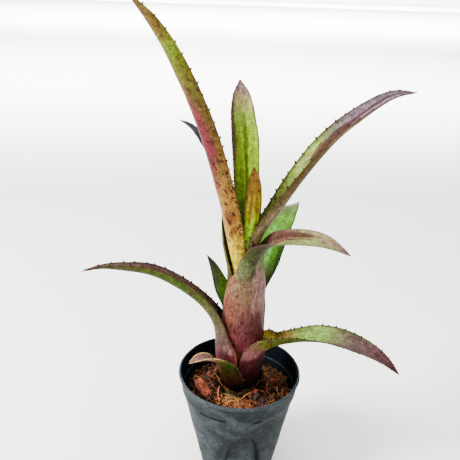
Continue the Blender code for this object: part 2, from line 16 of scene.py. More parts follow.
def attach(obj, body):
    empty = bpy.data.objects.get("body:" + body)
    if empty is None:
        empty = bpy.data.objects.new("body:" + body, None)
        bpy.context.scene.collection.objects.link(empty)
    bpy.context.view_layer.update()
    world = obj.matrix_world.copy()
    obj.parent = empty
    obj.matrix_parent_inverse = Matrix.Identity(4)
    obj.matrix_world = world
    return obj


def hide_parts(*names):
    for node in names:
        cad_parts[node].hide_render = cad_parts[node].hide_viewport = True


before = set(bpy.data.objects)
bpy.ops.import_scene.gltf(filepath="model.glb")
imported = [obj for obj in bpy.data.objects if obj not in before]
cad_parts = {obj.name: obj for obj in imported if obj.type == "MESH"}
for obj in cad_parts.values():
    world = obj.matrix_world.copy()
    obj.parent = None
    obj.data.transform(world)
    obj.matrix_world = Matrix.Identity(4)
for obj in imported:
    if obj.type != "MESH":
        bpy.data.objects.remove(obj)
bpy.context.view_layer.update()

MM = 0.001

# The camera: the photograph's focal length in pixels of its 460 pixel side, its place and its turn
PHOTO_SIDE = 460
FOCAL_PIXELS = 560.0
SENSOR = 36.0
CAMERA_PLACE = (0.0, -383.0, 375.0)
CAMERA_PITCH = 22.8
CAMERA_YAW = -1.7
CAMERA_ROLL = 1.8

# The plant's nested sheaths, as layers that spring from the stem at their own height and radius
STEM_SHOULDER = 72.0
STEM_SHOULDER_RADIUS = 12.5
STEM_TOP = 106.0
STEM_TOP_RADIUS = 2.4
SHEATH_CLEARANCE = 0.9
LAYER_START = {-1: 73.5, 0: 75.5, 1: 77.5, 2: 80.5, 3: 84.0, 4: 88.0, 5: 91.5, 6: 95.0, 7: 98.5, 8: 102.0}
LAYER_RADIUS = {-1: 23.8, 0: 21.9, 1: 20.7, 2: 18.9, 3: 17.3, 4: 13.6, 5: 12.1, 6: 10.6, 7: 9.1, 8: 7.6}
LAYER_SWELL = 14.0
NECK_FROM = 158.0
NECK_TO = 225.0
NECK_SHARE = 0.22

# Leaf blades: thickness, the length of the thin tip, and the steps of their mesh along and across
BLADE_MIDDLE = 1.0
BLADE_EDGE = 0.42
TIP_LENGTH = 5.0
TIP_SHARE = 0.3
SHEATH_STEP = 3.0
BLADE_STEP = 1.3
COLUMNS = 24
# Where a blade comes free of its sheath, and the waves of its margins
FREE_BEFORE = 6.0
FREE_LENGTH = 22.0
WAVE_LENGTHS = (34, 29)
FULL_WAVE_HALF = 8
# How far the patterns of a blade's two faces lie apart
FACES_APART = 40

# The light that a picture shows as each of these values, the light that falls on the plant, and the part
# of it that a surface mirrors whatever its colour
SHOWN = (0, 18, 32, 58, 86, 118, 145, 165, 177, 189, 196, 205, 214, 235)
LIGHT = (0.0, 0.01, 0.02, 0.05, 0.1, 0.18, 0.3, 0.45, 0.6, 0.8, 1.0, 1.3, 1.8, 4.0)
LIGHT_LEVEL = 4.15
SHEEN = 0.02
DARKEST = 0.0015

# A point on the middle of a blade, with half the blade's width there, and its cup and roll in degrees
Station = namedtuple("Station", "x y z half cup roll", defaults=(0,))

# A leaf: the way it faces in degrees, its layer, how far its margins wave, its spines' spacing and length,
# its sheath as heights with the half angle it wraps, and its blade as stations
Leaf = namedtuple("Leaf", "name slot azimuth layer wave spacing spine sheath blade")


def tint(red, green, blue):
    """The colour of a surface that a picture shows as this red, green and blue, 0 to 255."""
    return tuple(float(max((np.interp(c, SHOWN, LIGHT) - SHEEN) / LIGHT_LEVEL, DARKEST))
                 for c in (red, green, blue))


def shades(*stops):
    """Stops of a ramp, each a position and the red, green and blue that a picture shows there."""
    return [(position, tint(*colour)) for position, *colour in stops]


def smooth(value):
    value = np.clip(value, 0, 1)
    return value * value * (3 - 2 * value)


def unit(vectors):
    return vectors / np.linalg.norm(vectors, axis=-1, keepdims=True)


def ripple(rng, longest, count=5):
    """A smooth uneven function of one number, about -1 to 1, from sines with seeded phases."""
    terms = [(longest / (1 + 0.83 * k), rng.uniform(0, 2 * pi), 1 / (1 + k)) for k in range(count)]
    total = sum(t[2] for t in terms)
    return lambda x: sum(w * np.sin(2 * pi * x / length + phase) for length, phase, w in terms) / total


def bumps(rng, longest, shortest, count=26):
    """A smooth uneven function of a place on a plane, about -1 to 1."""
    terms = []
    for k in range(count):
        length = longest * (shortest / longest) ** (k / (count - 1))
        turn = rng.uniform(0, 2 * pi)
        terms.append((2 * pi * cos(turn) / length, 2 * pi * sin(turn) / length,
                      rng.uniform(0, 2 * pi), (length / longest) ** 0.7))
    total = sqrt(sum(t[3] ** 2 for t in terms) * 2)
    return lambda x, y: sum(w * np.sin(a * x + b * y + p) for a, b, p, w in terms) / total


def turns(count):
    """Equal angles round one full turn."""
    return np.linspace(0, 2 * pi, count, endpoint=False)


def ring(radius, height, angles):
    """Points round the pot's axis."""
    return np.stack([radius * np.cos(angles), radius * np.sin(angles), height + 0 * angles], -1)


def loop(core, first, second, sides, start=0.0):
    """Points on an ellipse round a core, from the ellipse's two half axes."""
    return [core + first * cos(a) + second * sin(a) for a in start + turns(sides)]


LEAVES = [
    Leaf("leaf_tall_left", "leaf_tan", 232, 6, 0.35, 8.5, 2.7,
         [(95.5, 75), (125, 75), (160, 66), (188, 54)],
         [Station(-9, -10, 205, 9.8, 60), Station(-12.2, -12, 223, 10.2, 60),
          Station(-18.4, -15.2, 250, 10.2, 58), Station(-30.6, -21, 292.5, 9.7, 54),
          Station(-44.8, -26.5, 328, 8.5, 50), Station(-61, -32, 358, 5.6, 46),
          Station(-74, -37, 375, 0.5, 30)]),
    Leaf("leaf_upright_back", "leaf_green", 85, 7, 0.3, 5.5, 1.8,
         [(99, 80), (125, 80), (160, 68), (195, 64)],
         [Station(1.3, 9, 225, 10.3, 60), Station(-0.7, 10.5, 257.5, 11, 55),
          Station(-2.3, 12.5, 279.5, 11, 50), Station(-4.8, 14, 297, 9.6, 46),
          Station(-6.6, 15, 310.5, 6.6, 38), Station(-8.2, 16, 321, 0.5, 30)]),
    Leaf("leaf_young_centre", "leaf_tan", 290, 8, 0.15, 5.0, 1.1,
         [(102.5, 85), (130, 85), (170, 85), (198, 85)],
         [Station(5.3, -7, 215, 9.4, 85), Station(6.2, -8.2, 232, 9.9, 84),
          Station(6.4, -8, 248, 7.6, 75), Station(4.2, -7, 265, 0.5, 40)]),
    Leaf("leaf_arching_right", "leaf_tan", 352, 5, 0.35, 8.0, 2.5,
         [(92, 75), (120, 75), (160, 75), (188, 70)],
         [Station(10, -2, 201, 14.4, 65), Station(22.3, 1.6, 225.6, 14.3, 82, 8),
          Station(34.6, 4, 246.3, 13.5, 85, 18), Station(48.3, 6, 267.2, 13, 82, 24),
          Station(64.3, 9.5, 286.4, 11.5, 76, 28), Station(80.9, 12.5, 300.6, 9.3, 68, 33),
          Station(102, 17, 313.5, 5, 55, 38), Station(116, 20, 315.5, 0.5, 30, 40)]),
    Leaf("leaf_back_left", "leaf_green", 155, 4, 0.7, 6.5, 1.9,
         [(88.5, 70), (120, 72), (160, 72), (184, 66)],
         [Station(-15, 8, 200, 12, 52), Station(-16.3, 12, 218, 10.2, 46),
          Station(-19.4, 17, 242.5, 8.3, 44), Station(-26.5, 21, 261, 6.5, 42),
          Station(-34, 24, 272.7, 5.8, 38), Station(-43.5, 27, 284, 3.4, 34),
          Station(-52.5, 29, 288.5, 0.5, 25)]),
    Leaf("leaf_broad_back_right", "leaf_green", 52, 2, 0.4, 7.0, 1.1,
         [(81, 42), (100, 40), (130, 40), (146, 40)],
         [Station(13, 17, 160, 8.8, 34), Station(20, 22.5, 176, 10.8, 38),
          Station(23.3, 28.5, 190.5, 12.5, 34), Station(28.2, 37, 204, 12.4, 26),
          Station(32.3, 48, 212.3, 11.3, 20), Station(35.3, 62.5, 212.3, 9.6, 16),
          Station(38, 78, 203.5, 6.6, 14), Station(40.5, 92, 189, 0.5, 15)]),
    Leaf("leaf_front_right", "leaf_purple", 325, 3, 0.3, 3.4, 1.2,
         [(84.5, 100), (105, 112), (135, 115), (160, 110), (180, 92)],
         [Station(11.8, -9.7, 191, 18.2, 82), Station(13.7, -12.7, 201, 15.4, 74),
          Station(19, -16, 209.5, 13, 62, 8), Station(28.5, -20.5, 215.6, 10, 50, 22),
          Station(41.5, -25, 219, 8.5, 42, 30), Station(55, -29, 219.3, 6.3, 38, 32),
          Station(72.5, -34, 212.8, 0.5, 25, 32)]),
    Leaf("leaf_low_left", "leaf_purple", 188, 1, 0.3, 7.0, 2.4,
         [(78, 75), (95, 78), (112, 74), (124, 66)],
         [Station(-22, -5, 136, 16, 75), Station(-26.5, -6.5, 146, 12.9, 83, 5),
          Station(-36, -8.5, 158, 12, 92, 12), Station(-53, -12, 172.5, 11.5, 95, 15),
          Station(-70, -15, 182, 10, 95, 15), Station(-87.5, -18, 186, 7.5, 85, 15),
          Station(-104.5, -20, 187.5, 4, 70, 15), Station(-119, -22, 185, 0.5, 40, 15)]),
    Leaf("leaf_short_back_left", "leaf_green", 150, 3, 0.2, 4.5, 0.9,
         [(84.5, 42), (104, 42), (132, 42)],
         [Station(-13.5, 9.8, 144, 9.2, 42), Station(-18.8, 11.7, 158, 9.6, 38),
          Station(-23.5, 14, 173, 5.6, 30), Station(-29.4, 16, 185, 0.5, 25)]),
    Leaf("leaf_low_right", "leaf_purple", 343, 1, 0.3, 5.2, 2.2,
         [(78, 71), (92, 74.5), (106, 75), (111, 73)],
         [Station(22.1, -7.8, 116.5, 21.5, 74, -16), Station(26, -10.4, 120.6, 14.6, 80, -24),
          Station(31.5, -13, 124.8, 12.4, 82, -19), Station(43, -18, 131.8, 11.4, 79, -11),
          Station(58, -22, 137.4, 11, 64, 3), Station(76, -26, 138.2, 10.1, 47, 10),
          Station(92.5, -30, 134.2, 8.5, 42, 10), Station(107, -34, 128, 5, 38, 10),
          Station(118, -38, 119.8, 0.5, 25, 10)]),
    Leaf("leaf_stub_front_left", "leaf_tan", 248, 0, 0.4, 4.5, 1.9,
         [(76, 30), (84, 32), (92, 32)],
         [Station(-8, -19.5, 99.5, 9.5, 28), Station(-11, -22, 107, 8.3, 34, -5),
          Station(-17, -24, 112.5, 7.5, 40, -15), Station(-24.5, -25, 115.5, 7, 50, -35),
          Station(-32, -26, 115, 5.5, 60, -50), Station(-38.5, -26, 112, 1.5, 60, -50)]),
]


def layer_radius(layer, z):
    """Radius of the middle of a sheath layer at height z."""
    start = LAYER_START[layer]
    share = (start - STEM_SHOULDER) / (STEM_TOP - STEM_SHOULDER)
    first = STEM_SHOULDER_RADIUS + share * (STEM_TOP_RADIUS - STEM_SHOULDER_RADIUS) + SHEATH_CLEARANCE
    full = LAYER_RADIUS[layer]
    neck = np.clip((z - NECK_FROM) / (NECK_TO - NECK_FROM), 0, 1)
    return (full - (full - first) * np.exp(-(z - start) / LAYER_SWELL)) * (1 - NECK_SHARE * neck)


def spline_through(knots, values, at):
    """A natural cubic spline through values at the knots, read at the given places."""
    n = len(knots)
    h = np.diff(knots)
    slope = np.diff(values, axis=0) / h[:, None]
    matrix = np.eye(n)
    right = np.zeros_like(values)
    for i in range(1, n - 1):
        matrix[i, i - 1:i + 2] = h[i - 1], 2 * (h[i - 1] + h[i]), h[i]
        right[i] = 6 * (slope[i] - slope[i - 1])
    bend = np.linalg.solve(matrix, right)
    i = np.clip(np.searchsorted(knots, at, side="right") - 1, 0, n - 2)
    left = (at - knots[i])[:, None]
    span = h[i][:, None]
    first = slope[i] - span * (2 * bend[i] + bend[i + 1]) / 6
    return (values[i] + first * left + bend[i] * left ** 2 / 2
            + (bend[i + 1] - bend[i]) * left ** 3 / (6 * span))


def eased_through(knots, values, at):
    """A curve through values at the knots that never swings past them."""
    values = np.asarray(values, float)
    h = np.diff(knots)
    slope = np.diff(values) / h
    tangent = np.zeros_like(values)
    for i in range(1, len(values) - 1):
        if slope[i - 1] * slope[i] > 0:
            a = 2 * h[i] + h[i - 1]
            b = h[i] + 2 * h[i - 1]
            tangent[i] = (a + b) / (a / slope[i - 1] + b / slope[i])
    tangent[0], tangent[-1] = slope[0], slope[-1]
    i = np.clip(np.searchsorted(knots, at, side="right") - 1, 0, len(h) - 1)
    t = (at - knots[i]) / h[i]
    return (values[i] * (1 + 2 * t) * (1 - t) ** 2 + tangent[i] * h[i] * t * (1 - t) ** 2
            + values[i + 1] * t ** 2 * (3 - 2 * t) + tangent[i + 1] * h[i] * t ** 2 * (t - 1))


class LeafForm:
    """The leaf's rows from base to tip: where each lies, how it is turned and how it is curled."""

    def __init__(self, leaf, rng):
        azimuth = radians(leaf.azimuth)
        stations = []
        for z, wrap in leaf.sheath:
            r = layer_radius(leaf.layer, z)
            stations.append(Station(r * cos(azimuth), r * sin(azimuth), z, r * radians(wrap), wrap, 0.0))
        stations += leaf.blade
        points = np.array([(s.x, s.y, s.z) for s in stations], float)
        knots = np.concatenate([[0], np.cumsum(np.linalg.norm(np.diff(points, axis=0), axis=1))])
        sheath_end = knots[len(leaf.sheath) - 1]
        blade = knots[-1] - sheath_end
        in_sheath = np.linspace(0, sheath_end, ceil(sheath_end / SHEATH_STEP) + 1)
        in_blade = sheath_end + np.linspace(0, blade, ceil(blade / BLADE_STEP) + 1)[1:]
        self.at = at = np.concatenate([in_sheath, in_blade])
        self.sheath_end = sheath_end
        self.last_station = len(stations) - 1
        self.place = np.interp(at, knots, np.arange(len(stations))) / self.last_station
        self.middle = spline_through(knots, points, at)
        along = unit(spline_through(knots, points, np.minimum(at + 0.5, knots[-1]))
                     - spline_through(knots, points, np.maximum(at - 0.5, 0)))
        self.half = eased_through(knots, [s.half for s in stations], at)
        cup = np.radians(eased_through(knots, [s.cup for s in stations], at))
        roll = np.radians(eased_through(knots, [s.roll for s in stations], at))
        free = smooth((at - sheath_end + FREE_BEFORE) / FREE_LENGTH)
        self.square = unit((1 - free)[:, None] * np.array([0, 0, 1.0]) + free[:, None] * along)
        inward = np.array([-cos(azimuth), -sin(azimuth), 0.0])
        normals, sides = [], []
        for s, turn in zip(self.square, roll):
            inward = unit(inward - (inward @ s) * s)
            side = np.cross(s, inward)
            normals.append(inward * cos(turn) + side * sin(turn))
            sides.append(side * cos(turn) - inward * sin(turn))
        self.normals, self.sides = np.array(normals), np.array(sides)
        self.curl = (1 - free) / np.hypot(self.middle[:, 0], self.middle[:, 1]) + free * cup / self.half
        self.wave = leaf.wave * free * np.minimum(self.half / FULL_WAVE_HALF, 1)
        self.waves = [ripple(rng, length) for length in WAVE_LENGTHS]

    def surface(self, across):
        """Middle surface at each row for an array of places across, -1 to 1, and its normals."""
        angle = (self.half * self.curl)[:, None] * across
        curl = self.curl[:, None]
        rise = ((1 - np.cos(angle)) / curl)[..., None]
        reach = (np.sin(angle) / curl)[..., None]
        normals, sides = self.normals[:, None], self.sides[:, None]
        facing = normals * np.cos(angle)[..., None] - sides * np.sin(angle)[..., None]
        outward = normals * np.sin(angle)[..., None] + sides * np.cos(angle)[..., None]
        wave = np.where(across < 0, self.waves[0](self.at)[:, None], self.waves[1](self.at)[:, None])
        lift = wave * np.abs(across) ** 2.5 * self.wave[:, None]
        surface = self.middle[:, None] + normals * rise + sides * reach + facing * lift[..., None]
        return surface, facing, outward

    def margins(self):
        """The two margins at each row, as surface gives them."""
        return self.surface(np.array([-1.0, 1.0]))


def put_in_scene(name, data):
    made = bpy.data.objects.new(name, data)
    bpy.context.scene.collection.objects.link(made)
    return made


def write_places(mesh, flat, place):
    """Gives each point of a mesh the two vectors that the materials read."""
    for name, values in (("flat_mm", flat), ("place", place)):
        if name in mesh.attributes:
            mesh.attributes.remove(mesh.attributes[name])
        made = mesh.attributes.new(name, "FLOAT_VECTOR", "POINT")
        made.data.foreach_set("vector", values.astype(np.float32).ravel())


class Piece:
    """Collects points, faces and per-point places for one mesh."""

    def __init__(self):
        self.points, self.faces, self.material, self.flat, self.place = [], [], [], [], []
        self.count = 0

    def add(self, points, faces, material=0, flat=None, place=(0, 0, 0)):
        points = np.asarray(points, float).reshape(-1, 3)
        place = np.asarray(place, float).reshape(-1, 3)
        self.points.append(points)
        self.flat.append(points if flat is None else np.asarray(flat, float).reshape(-1, 3))
        self.place.append(np.broadcast_to(place, points.shape))
        self.faces.extend([tuple(v + self.count for v in face) for face in faces])
        self.material.extend([material] * len(faces))
        self.count += len(points)

    def mesh(self, name):
        mesh = bpy.data.meshes.new(name)
        mesh.from_pydata((np.concatenate(self.points) * MM).tolist(), [], self.faces)
        return mesh

    def build(self, name, materials, node):
        mesh = self.mesh(name)
        for material in materials:
            mesh.materials.append(material)
        mesh.polygons.foreach_set("material_index", self.material)
        write_places(mesh, np.concatenate(self.flat), np.concatenate(self.place))
        mesh.shade_smooth()
        piece = put_in_scene(name, mesh)
        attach(piece, "root")
        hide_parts(node)
        return piece


def tube_faces(rows, around, closed_rows=False):
    """Quads of a grid of rows whose rows close on themselves."""
    faces = []
    for i in range(rows if closed_rows else rows - 1):
        k = (i + 1) % rows
        for j in range(around):
            m = (j + 1) % around
            faces.append((i * around + j, i * around + m, k * around + m, k * around + j))
    return faces


def capped_tube(rows, around):
    """The quads of a tube and one face at each end."""
    first = tuple(reversed(range(around)))
    last = tuple((rows - 1) * around + j for j in range(around))
    return tube_faces(rows, around) + [first, last]


def add_blade(piece, form):
    """The blade's two faces and its rounded margins, as one closed tube round each row."""
    across = np.linspace(-1, 1, COLUMNS + 1)
    surface, facing, outward = form.surface(across)
    thick = (BLADE_EDGE + (BLADE_MIDDLE - BLADE_EDGE) * (1 - across ** 2)) / 2
    taper = np.clip((form.at[-1] - form.at) / TIP_LENGTH, TIP_SHARE, 1)[:, None, None]
    thick = thick[None, :, None] * taper
    upper, lower = surface + facing * thick, surface - facing * thick
    rim = BLADE_EDGE / 2 * taper[:, 0]
    first, last = surface[:, 0] - outward[:, 0] * rim, surface[:, -1] + outward[:, -1] * rim
    outline = np.concatenate([upper, last[:, None], lower[:, ::-1], first[:, None]], axis=1)
    rows, around = outline.shape[:2]
    round_across = np.concatenate([across, [1.0], across[::-1], [-1.0]])
    round_face = np.concatenate([np.ones(len(across)), [0.5], np.zeros(len(across)), [0.5]])
    place = np.stack(np.broadcast_arrays(form.place[:, None], round_across, round_face), axis=-1)
    flat = np.stack(np.broadcast_arrays(round_across * form.half[:, None], form.at[:, None],
                                        round_face * FACES_APART), axis=-1)
    piece.add(outline, capped_tube(rows, around), 0, flat, place)


# Spines: the height and width of their rings, and their shape as shares of their size
SPINE_RINGS = ((0.0, 1.0), (0.22, 0.86), (0.5, 0.58), (0.78, 0.28), (0.97, 0.06))
SPINE_SIDES = 6
SPINE_SUNK = 0.35
SPINE_HOOK = 0.5
SPINE_LONG = 0.52
SPINE_THICK = 0.3
SPINES_BARE_TIP = 4

# Calluses: a small ball's rings and sides. They hold this value where a spine's points hold their height.
KNOB = -1.0
KNOB_RINGS = 9
KNOB_SIDES = 12
KNOB_SUNK = 0.3
STRIP_SIDES = 8


def add_spines(piece, form, leaf, rng):
    """Hooked spines along both margins, bent towards the tip, with their roots sunk in the blade."""
    surface, facing, outward = form.margins()
    for edge, sign in ((0, -1), (1, 1)):
        s = form.sheath_end + rng.uniform(1, 4)
        while s < form.at[-1] - SPINES_BARE_TIP:
            row = int(np.searchsorted(form.at, s))
            share = (s - form.sheath_end) / (form.at[-1] - form.sheath_end)
            size = leaf.spine * rng.uniform(0.75, 1.15) * (1 - 0.35 * share)
            out, ahead, up = sign * outward[row, edge], form.square[row], facing[row, edge]
            points, places = [], []
            for height, width in SPINE_RINGS:
                hook = ahead * size * SPINE_HOOK * height ** 1.6
                core = surface[row, edge] + out * (size * height - SPINE_SUNK) + hook
                long, thick = ahead * SPINE_LONG * size * width, up * SPINE_THICK * size * width
                points += loop(core, long, thick, SPINE_SIDES)
                places += [(form.place[row], sign, height)] * SPINE_SIDES
            piece.add(points, capped_tube(len(SPINE_RINGS), SPINE_SIDES), 1, place=places)
            s += leaf.spacing * rng.uniform(0.7, 1.3)


def add_knob(piece, form, station, sign, size):
    """A pale callus on a margin: a small uneven ball sunk in the blade."""
    surface, facing, outward = form.margins()
    row, edge = int(np.searchsorted(form.place, station / form.last_station)), (sign + 1) // 2
    centre = surface[row, edge] - (sign * outward[row, edge] + facing[row, edge]) * KNOB_SUNK * size
    points = []
    for i in range(KNOB_RINGS):
        t = pi * (i + 0.5) / KNOB_RINGS
        for a in turns(KNOB_SIDES):
            r = size * (1 + 0.14 * sin(3 * a + 2 * t))
            points.append(centre + r * (form.square[row] * cos(t) + form.sides[row] * sin(t) * cos(a) * 0.8
                                        + form.normals[row] * sin(t) * sin(a)))
    piece.add(points, capped_tube(KNOB_RINGS, KNOB_SIDES), 1, place=(0, sign, KNOB))


def add_strip(piece, form, first, last, sign, thickness):
    """A dried, curled strip along part of a margin."""
    surface, facing, outward = form.margins()
    rows = np.arange(*np.searchsorted(form.place, [first / form.last_station, last / form.last_station]))
    edge = (sign + 1) // 2
    points, places = [], []
    for n, row in enumerate(rows):
        t = 2 * n / (len(rows) - 1) - 1
        lift = 0.35 + 0.5 * (1 - t * t) + 0.25 * sin(9 * t)
        core = surface[row, edge] - facing[row, edge] * lift + sign * outward[row, edge] * 0.2 * sin(7 * t)
        r = thickness / 2 * (1 - 0.8 * abs(t) ** 3)
        points += loop(core, outward[row, edge] * r, facing[row, edge] * 0.6 * r, STRIP_SIDES, 1.5 * t)
        places += [(form.place[row], sign, 0.5)] * STRIP_SIDES
    piece.add(points, capped_tube(len(rows), STRIP_SIDES), 0, place=places)


class Graph:
    """Builds a material's nodes. A value for an input is a constant or another node's output."""

    def __init__(self, name):
        self.material = bpy.data.materials.new(name)
        self.material.use_nodes = True
        self.tree = self.material.node_tree
        self.shader = self.tree.nodes["Principled BSDF"]

    def node(self, kind, inputs, **settings):
        made = self.tree.nodes.new("ShaderNode" + kind)
        for key, value in settings.items():
            setattr(made, key, value)
        for key, value in inputs.items():
            self.put(made.inputs[key], value)
        return made

    def put(self, socket, value):
        if isinstance(value, bpy.types.NodeSocket):
            self.tree.links.new(value, socket)
        elif isinstance(value, tuple) and len(value) == 3 and socket.type == "RGBA":
            socket.default_value = (*value, 1)
        else:
            socket.default_value = value

    def attribute(self, name):
        return self.node("Attribute", {}, attribute_name=name).outputs["Vector"]

    def parts(self, vector):
        return self.node("SeparateXYZ", {0: vector}).outputs

    def scaled(self, vector, x, y, z):
        return self.node("VectorMath", {0: vector, 1: (x, y, z)}, operation="MULTIPLY").outputs[0]

    def length(self, vector):
        return self.node("VectorMath", {0: vector}, operation="LENGTH").outputs[1]

    def noise(self, vector, stretch, detail=3.0, roughness=0.55, distortion=0.0):
        """Noise of a vector that is first scaled by stretch along its three axes."""
        vector = self.scaled(vector, *stretch)
        return self.node("TexNoise", {"Vector": vector, "Scale": 1.0, "Detail": detail,
                                      "Roughness": roughness, "Distortion": distortion}).outputs[0]

    def math(self, operation, a, b=0.0):
        return self.node("Math", {0: a, 1: b}, operation=operation).outputs[0]

    def between(self, value, low, high, to_low=0.0, to_high=1.0):
        """Eases from one value to another as the given value goes from low to high."""
        return self.node("MapRange", {"Value": value, "From Min": low, "From Max": high,
                                      "To Min": to_low, "To Max": to_high},
                         interpolation_type="SMOOTHSTEP").outputs[0]

    def ramp(self, value, stops):
        made = self.node("ValToRGB", {"Fac": value})
        elements = made.color_ramp.elements
        while len(elements) < len(stops):
            elements.new(0.5)
        for element, (position, _) in zip(elements, stops):
            element.position = position
        for element, (_, colour) in zip(elements, stops):
            colour = (colour,) * 3 if isinstance(colour, (int, float)) else colour
            element.color = (*colour, 1)
        return made.outputs["Color"]

    def shade(self, colour, value, low, high, darkest, lightest):
        """Multiplies a colour by a factor that rises from darkest to lightest as the value goes up."""
        factor = self.between(value, low, high, darkest, lightest)
        return self.node("VectorMath", {0: colour, "Scale": factor}, operation="SCALE").outputs[0]

    def mix(self, share, a, b, blend="MIX"):
        made = self.node("Mix", {}, data_type="RGBA", blend_type=blend)
        for index, value in ((0, share), (6, a), (7, b)):
            self.put(made.inputs[index], value)
        return made.outputs[2]

    def bump(self, height, strength, distance_mm):
        return self.node("Bump", {"Height": height, "Strength": strength,
                                  "Distance": distance_mm * MM}).outputs[0]

    def finish(self, colour, roughness, normal=None, **fixed):
        self.put(self.shader.inputs["Base Color"], colour)
        self.put(self.shader.inputs["Roughness"], roughness)
        if normal is not None:
            self.put(self.shader.inputs["Normal"], normal)
        for key, value in fixed.items():
            self.shader.inputs[key.replace("_", " ")].default_value = value
        return self.material


# The sides of a leaf that a patch of colour can lie on
OUT, IN, BOTH = range(3)

# A patch of colour, centred on a station and a place across (-1 to 1), with how many stations it reaches
# along, how far it reaches across, and how strong it is
Patch = namedtuple("Patch", "face station reach across width colour amount")

# How a leaf looks. Colours run along it by station number, outside and inside, with spots, pale scurf and
# gloss, a colour for its rim, and the spines' colours at their root and tip.
Look = namedtuple("Look", "outside inside spots spot_colour scurf rim rim_amount gloss root tip patches")


def on(face, *patches):
    """Patches on one side, each a station, a reach, a place across, a width, a colour and a strength."""
    return [Patch(face, station, reach, across, width, tint(*colour), amount)
            for station, reach, across, width, colour, amount in patches]


def leaf_material(leaf, look):
    g = Graph(leaf.name + "_skin")
    last = len(leaf.sheath) + len(leaf.blade) - 1
    share, across, face = g.parts(g.attribute("place"))[:3]
    flat = g.attribute("flat_mm")

    def along(stops):
        return g.ramp(share, [(station / last, value) for station, value in stops])

    wander = g.math("MULTIPLY", g.math("SUBTRACT", g.noise(flat, (0.12, 0.05, 1)), 0.5), 0.5)
    inner = g.between(face, 0.45, 0.55)
    colour = g.mix(inner, along(look.outside), along(look.inside))
    station = g.math("ADD", g.math("MULTIPLY", share, last), wander)
    loose = g.node("CombineXYZ", {0: station, 1: g.math("ADD", across, wander), 2: 0.0}).outputs[0]
    for patch in look.patches:
        centre = (patch.station, patch.across, 0)
        away = g.node("VectorMath", {0: loose, 1: centre}, operation="SUBTRACT").outputs[0]
        away = g.length(g.scaled(away, 1 / patch.reach, 1 / patch.width, 0))
        amount = g.between(away, 0.45, 1.1, patch.amount, 0.0)
        if patch.face != BOTH:
            side = inner if patch.face == IN else g.math("SUBTRACT", 1.0, inner)
            amount = g.math("MULTIPLY", amount, side)
        colour = g.mix(amount, colour, patch.colour)

    # Long veins, fine bands across them, cloudy mottling, and marks in two sizes
    veins = g.noise(flat, (1.0, 0.04, 1), 4.0, 0.6)
    colour = g.shade(colour, veins, 0.36, 0.66, 0.8, 1.18)
    bands = g.noise(flat, (0.22, 1.25, 1), 4.0, 0.65, 0.4)
    colour = g.shade(colour, bands, 0.38, 0.64, 0.78, 1.2)
    clouds = g.noise(flat, (0.3, 0.2, 1), 5.0, 0.7, 0.6)
    colour = g.shade(colour, clouds, 0.34, 0.68, 0.62, 1.38)
    blotch = g.between(g.noise(flat, (0.3, 0.24, 1), 2.0, 0.55, 0.8), 0.56, 0.6, 0.0, 0.95)
    speckle = g.between(g.noise(flat, (1.15, 0.95, 1), 3.0, 0.6), 0.57, 0.64, 0.0, 0.9)
    marks = g.math("MULTIPLY", g.math("MAXIMUM", blotch, speckle), along(look.spots))
    colour = g.mix(marks, colour, look.spot_colour)

    # Pale scurf lies in fine scales, banded across the leaf, that gather in uneven patches.
    scales = g.between(g.noise(flat, (0.55, 1.5, 1), 4.0, 0.7), 0.48, 0.62)
    patchy = g.between(g.noise(flat, (0.2, 0.16, 1), 3.0, 0.6, 0.6), 0.42, 0.6, 0.1, 0.8)
    scurf = g.math("MULTIPLY", g.math("MULTIPLY", scales, patchy), along(look.scurf))
    colour = g.mix(scurf, colour, SCURF)

    edge = g.between(g.math("ABSOLUTE", across), 0.84, 0.98)
    colour = g.mix(g.math("MULTIPLY", edge, along(look.rim_amount)), colour, look.rim)
    height = g.math("ADD", g.math("MULTIPLY", veins, 0.9), g.math("MULTIPLY", bands, 0.5))
    gloss = g.between(clouds, 0.3, 0.7, look.gloss, look.gloss + 0.14)
    rough = g.math("ADD", g.math("MULTIPLY", scurf, 0.25), gloss)
    return g.finish(colour, rough, g.bump(height, 0.6, 0.5), Specular_IOR_Level=0.045)


def spine_material(leaf, look):
    g = Graph(leaf.name + "_spines")
    height = g.parts(g.attribute("place"))[2]
    colour = g.ramp(height, [(0.2, look.root), (0.6, look.tip)])
    colour = g.mix(g.math("LESS_THAN", height, KNOB / 2), colour, CALLUS)
    grain = g.noise(g.attribute("flat_mm"), (2.0, 2.0, 2.0))
    colour = g.mix(0.5, colour, g.ramp(grain, [(0.3, 0.7), (0.7, 1.25)]), "MULTIPLY")
    return g.finish(colour, 0.6, Specular_IOR_Level=0.08)


SCURF = tint(180, 152, 150)
CALLUS = tint(186, 146, 124)
RED_BROWN = tint(96, 42, 26)
DARK_SPINE = tint(58, 38, 36)
PALE_ROOT = tint(132, 104, 70)

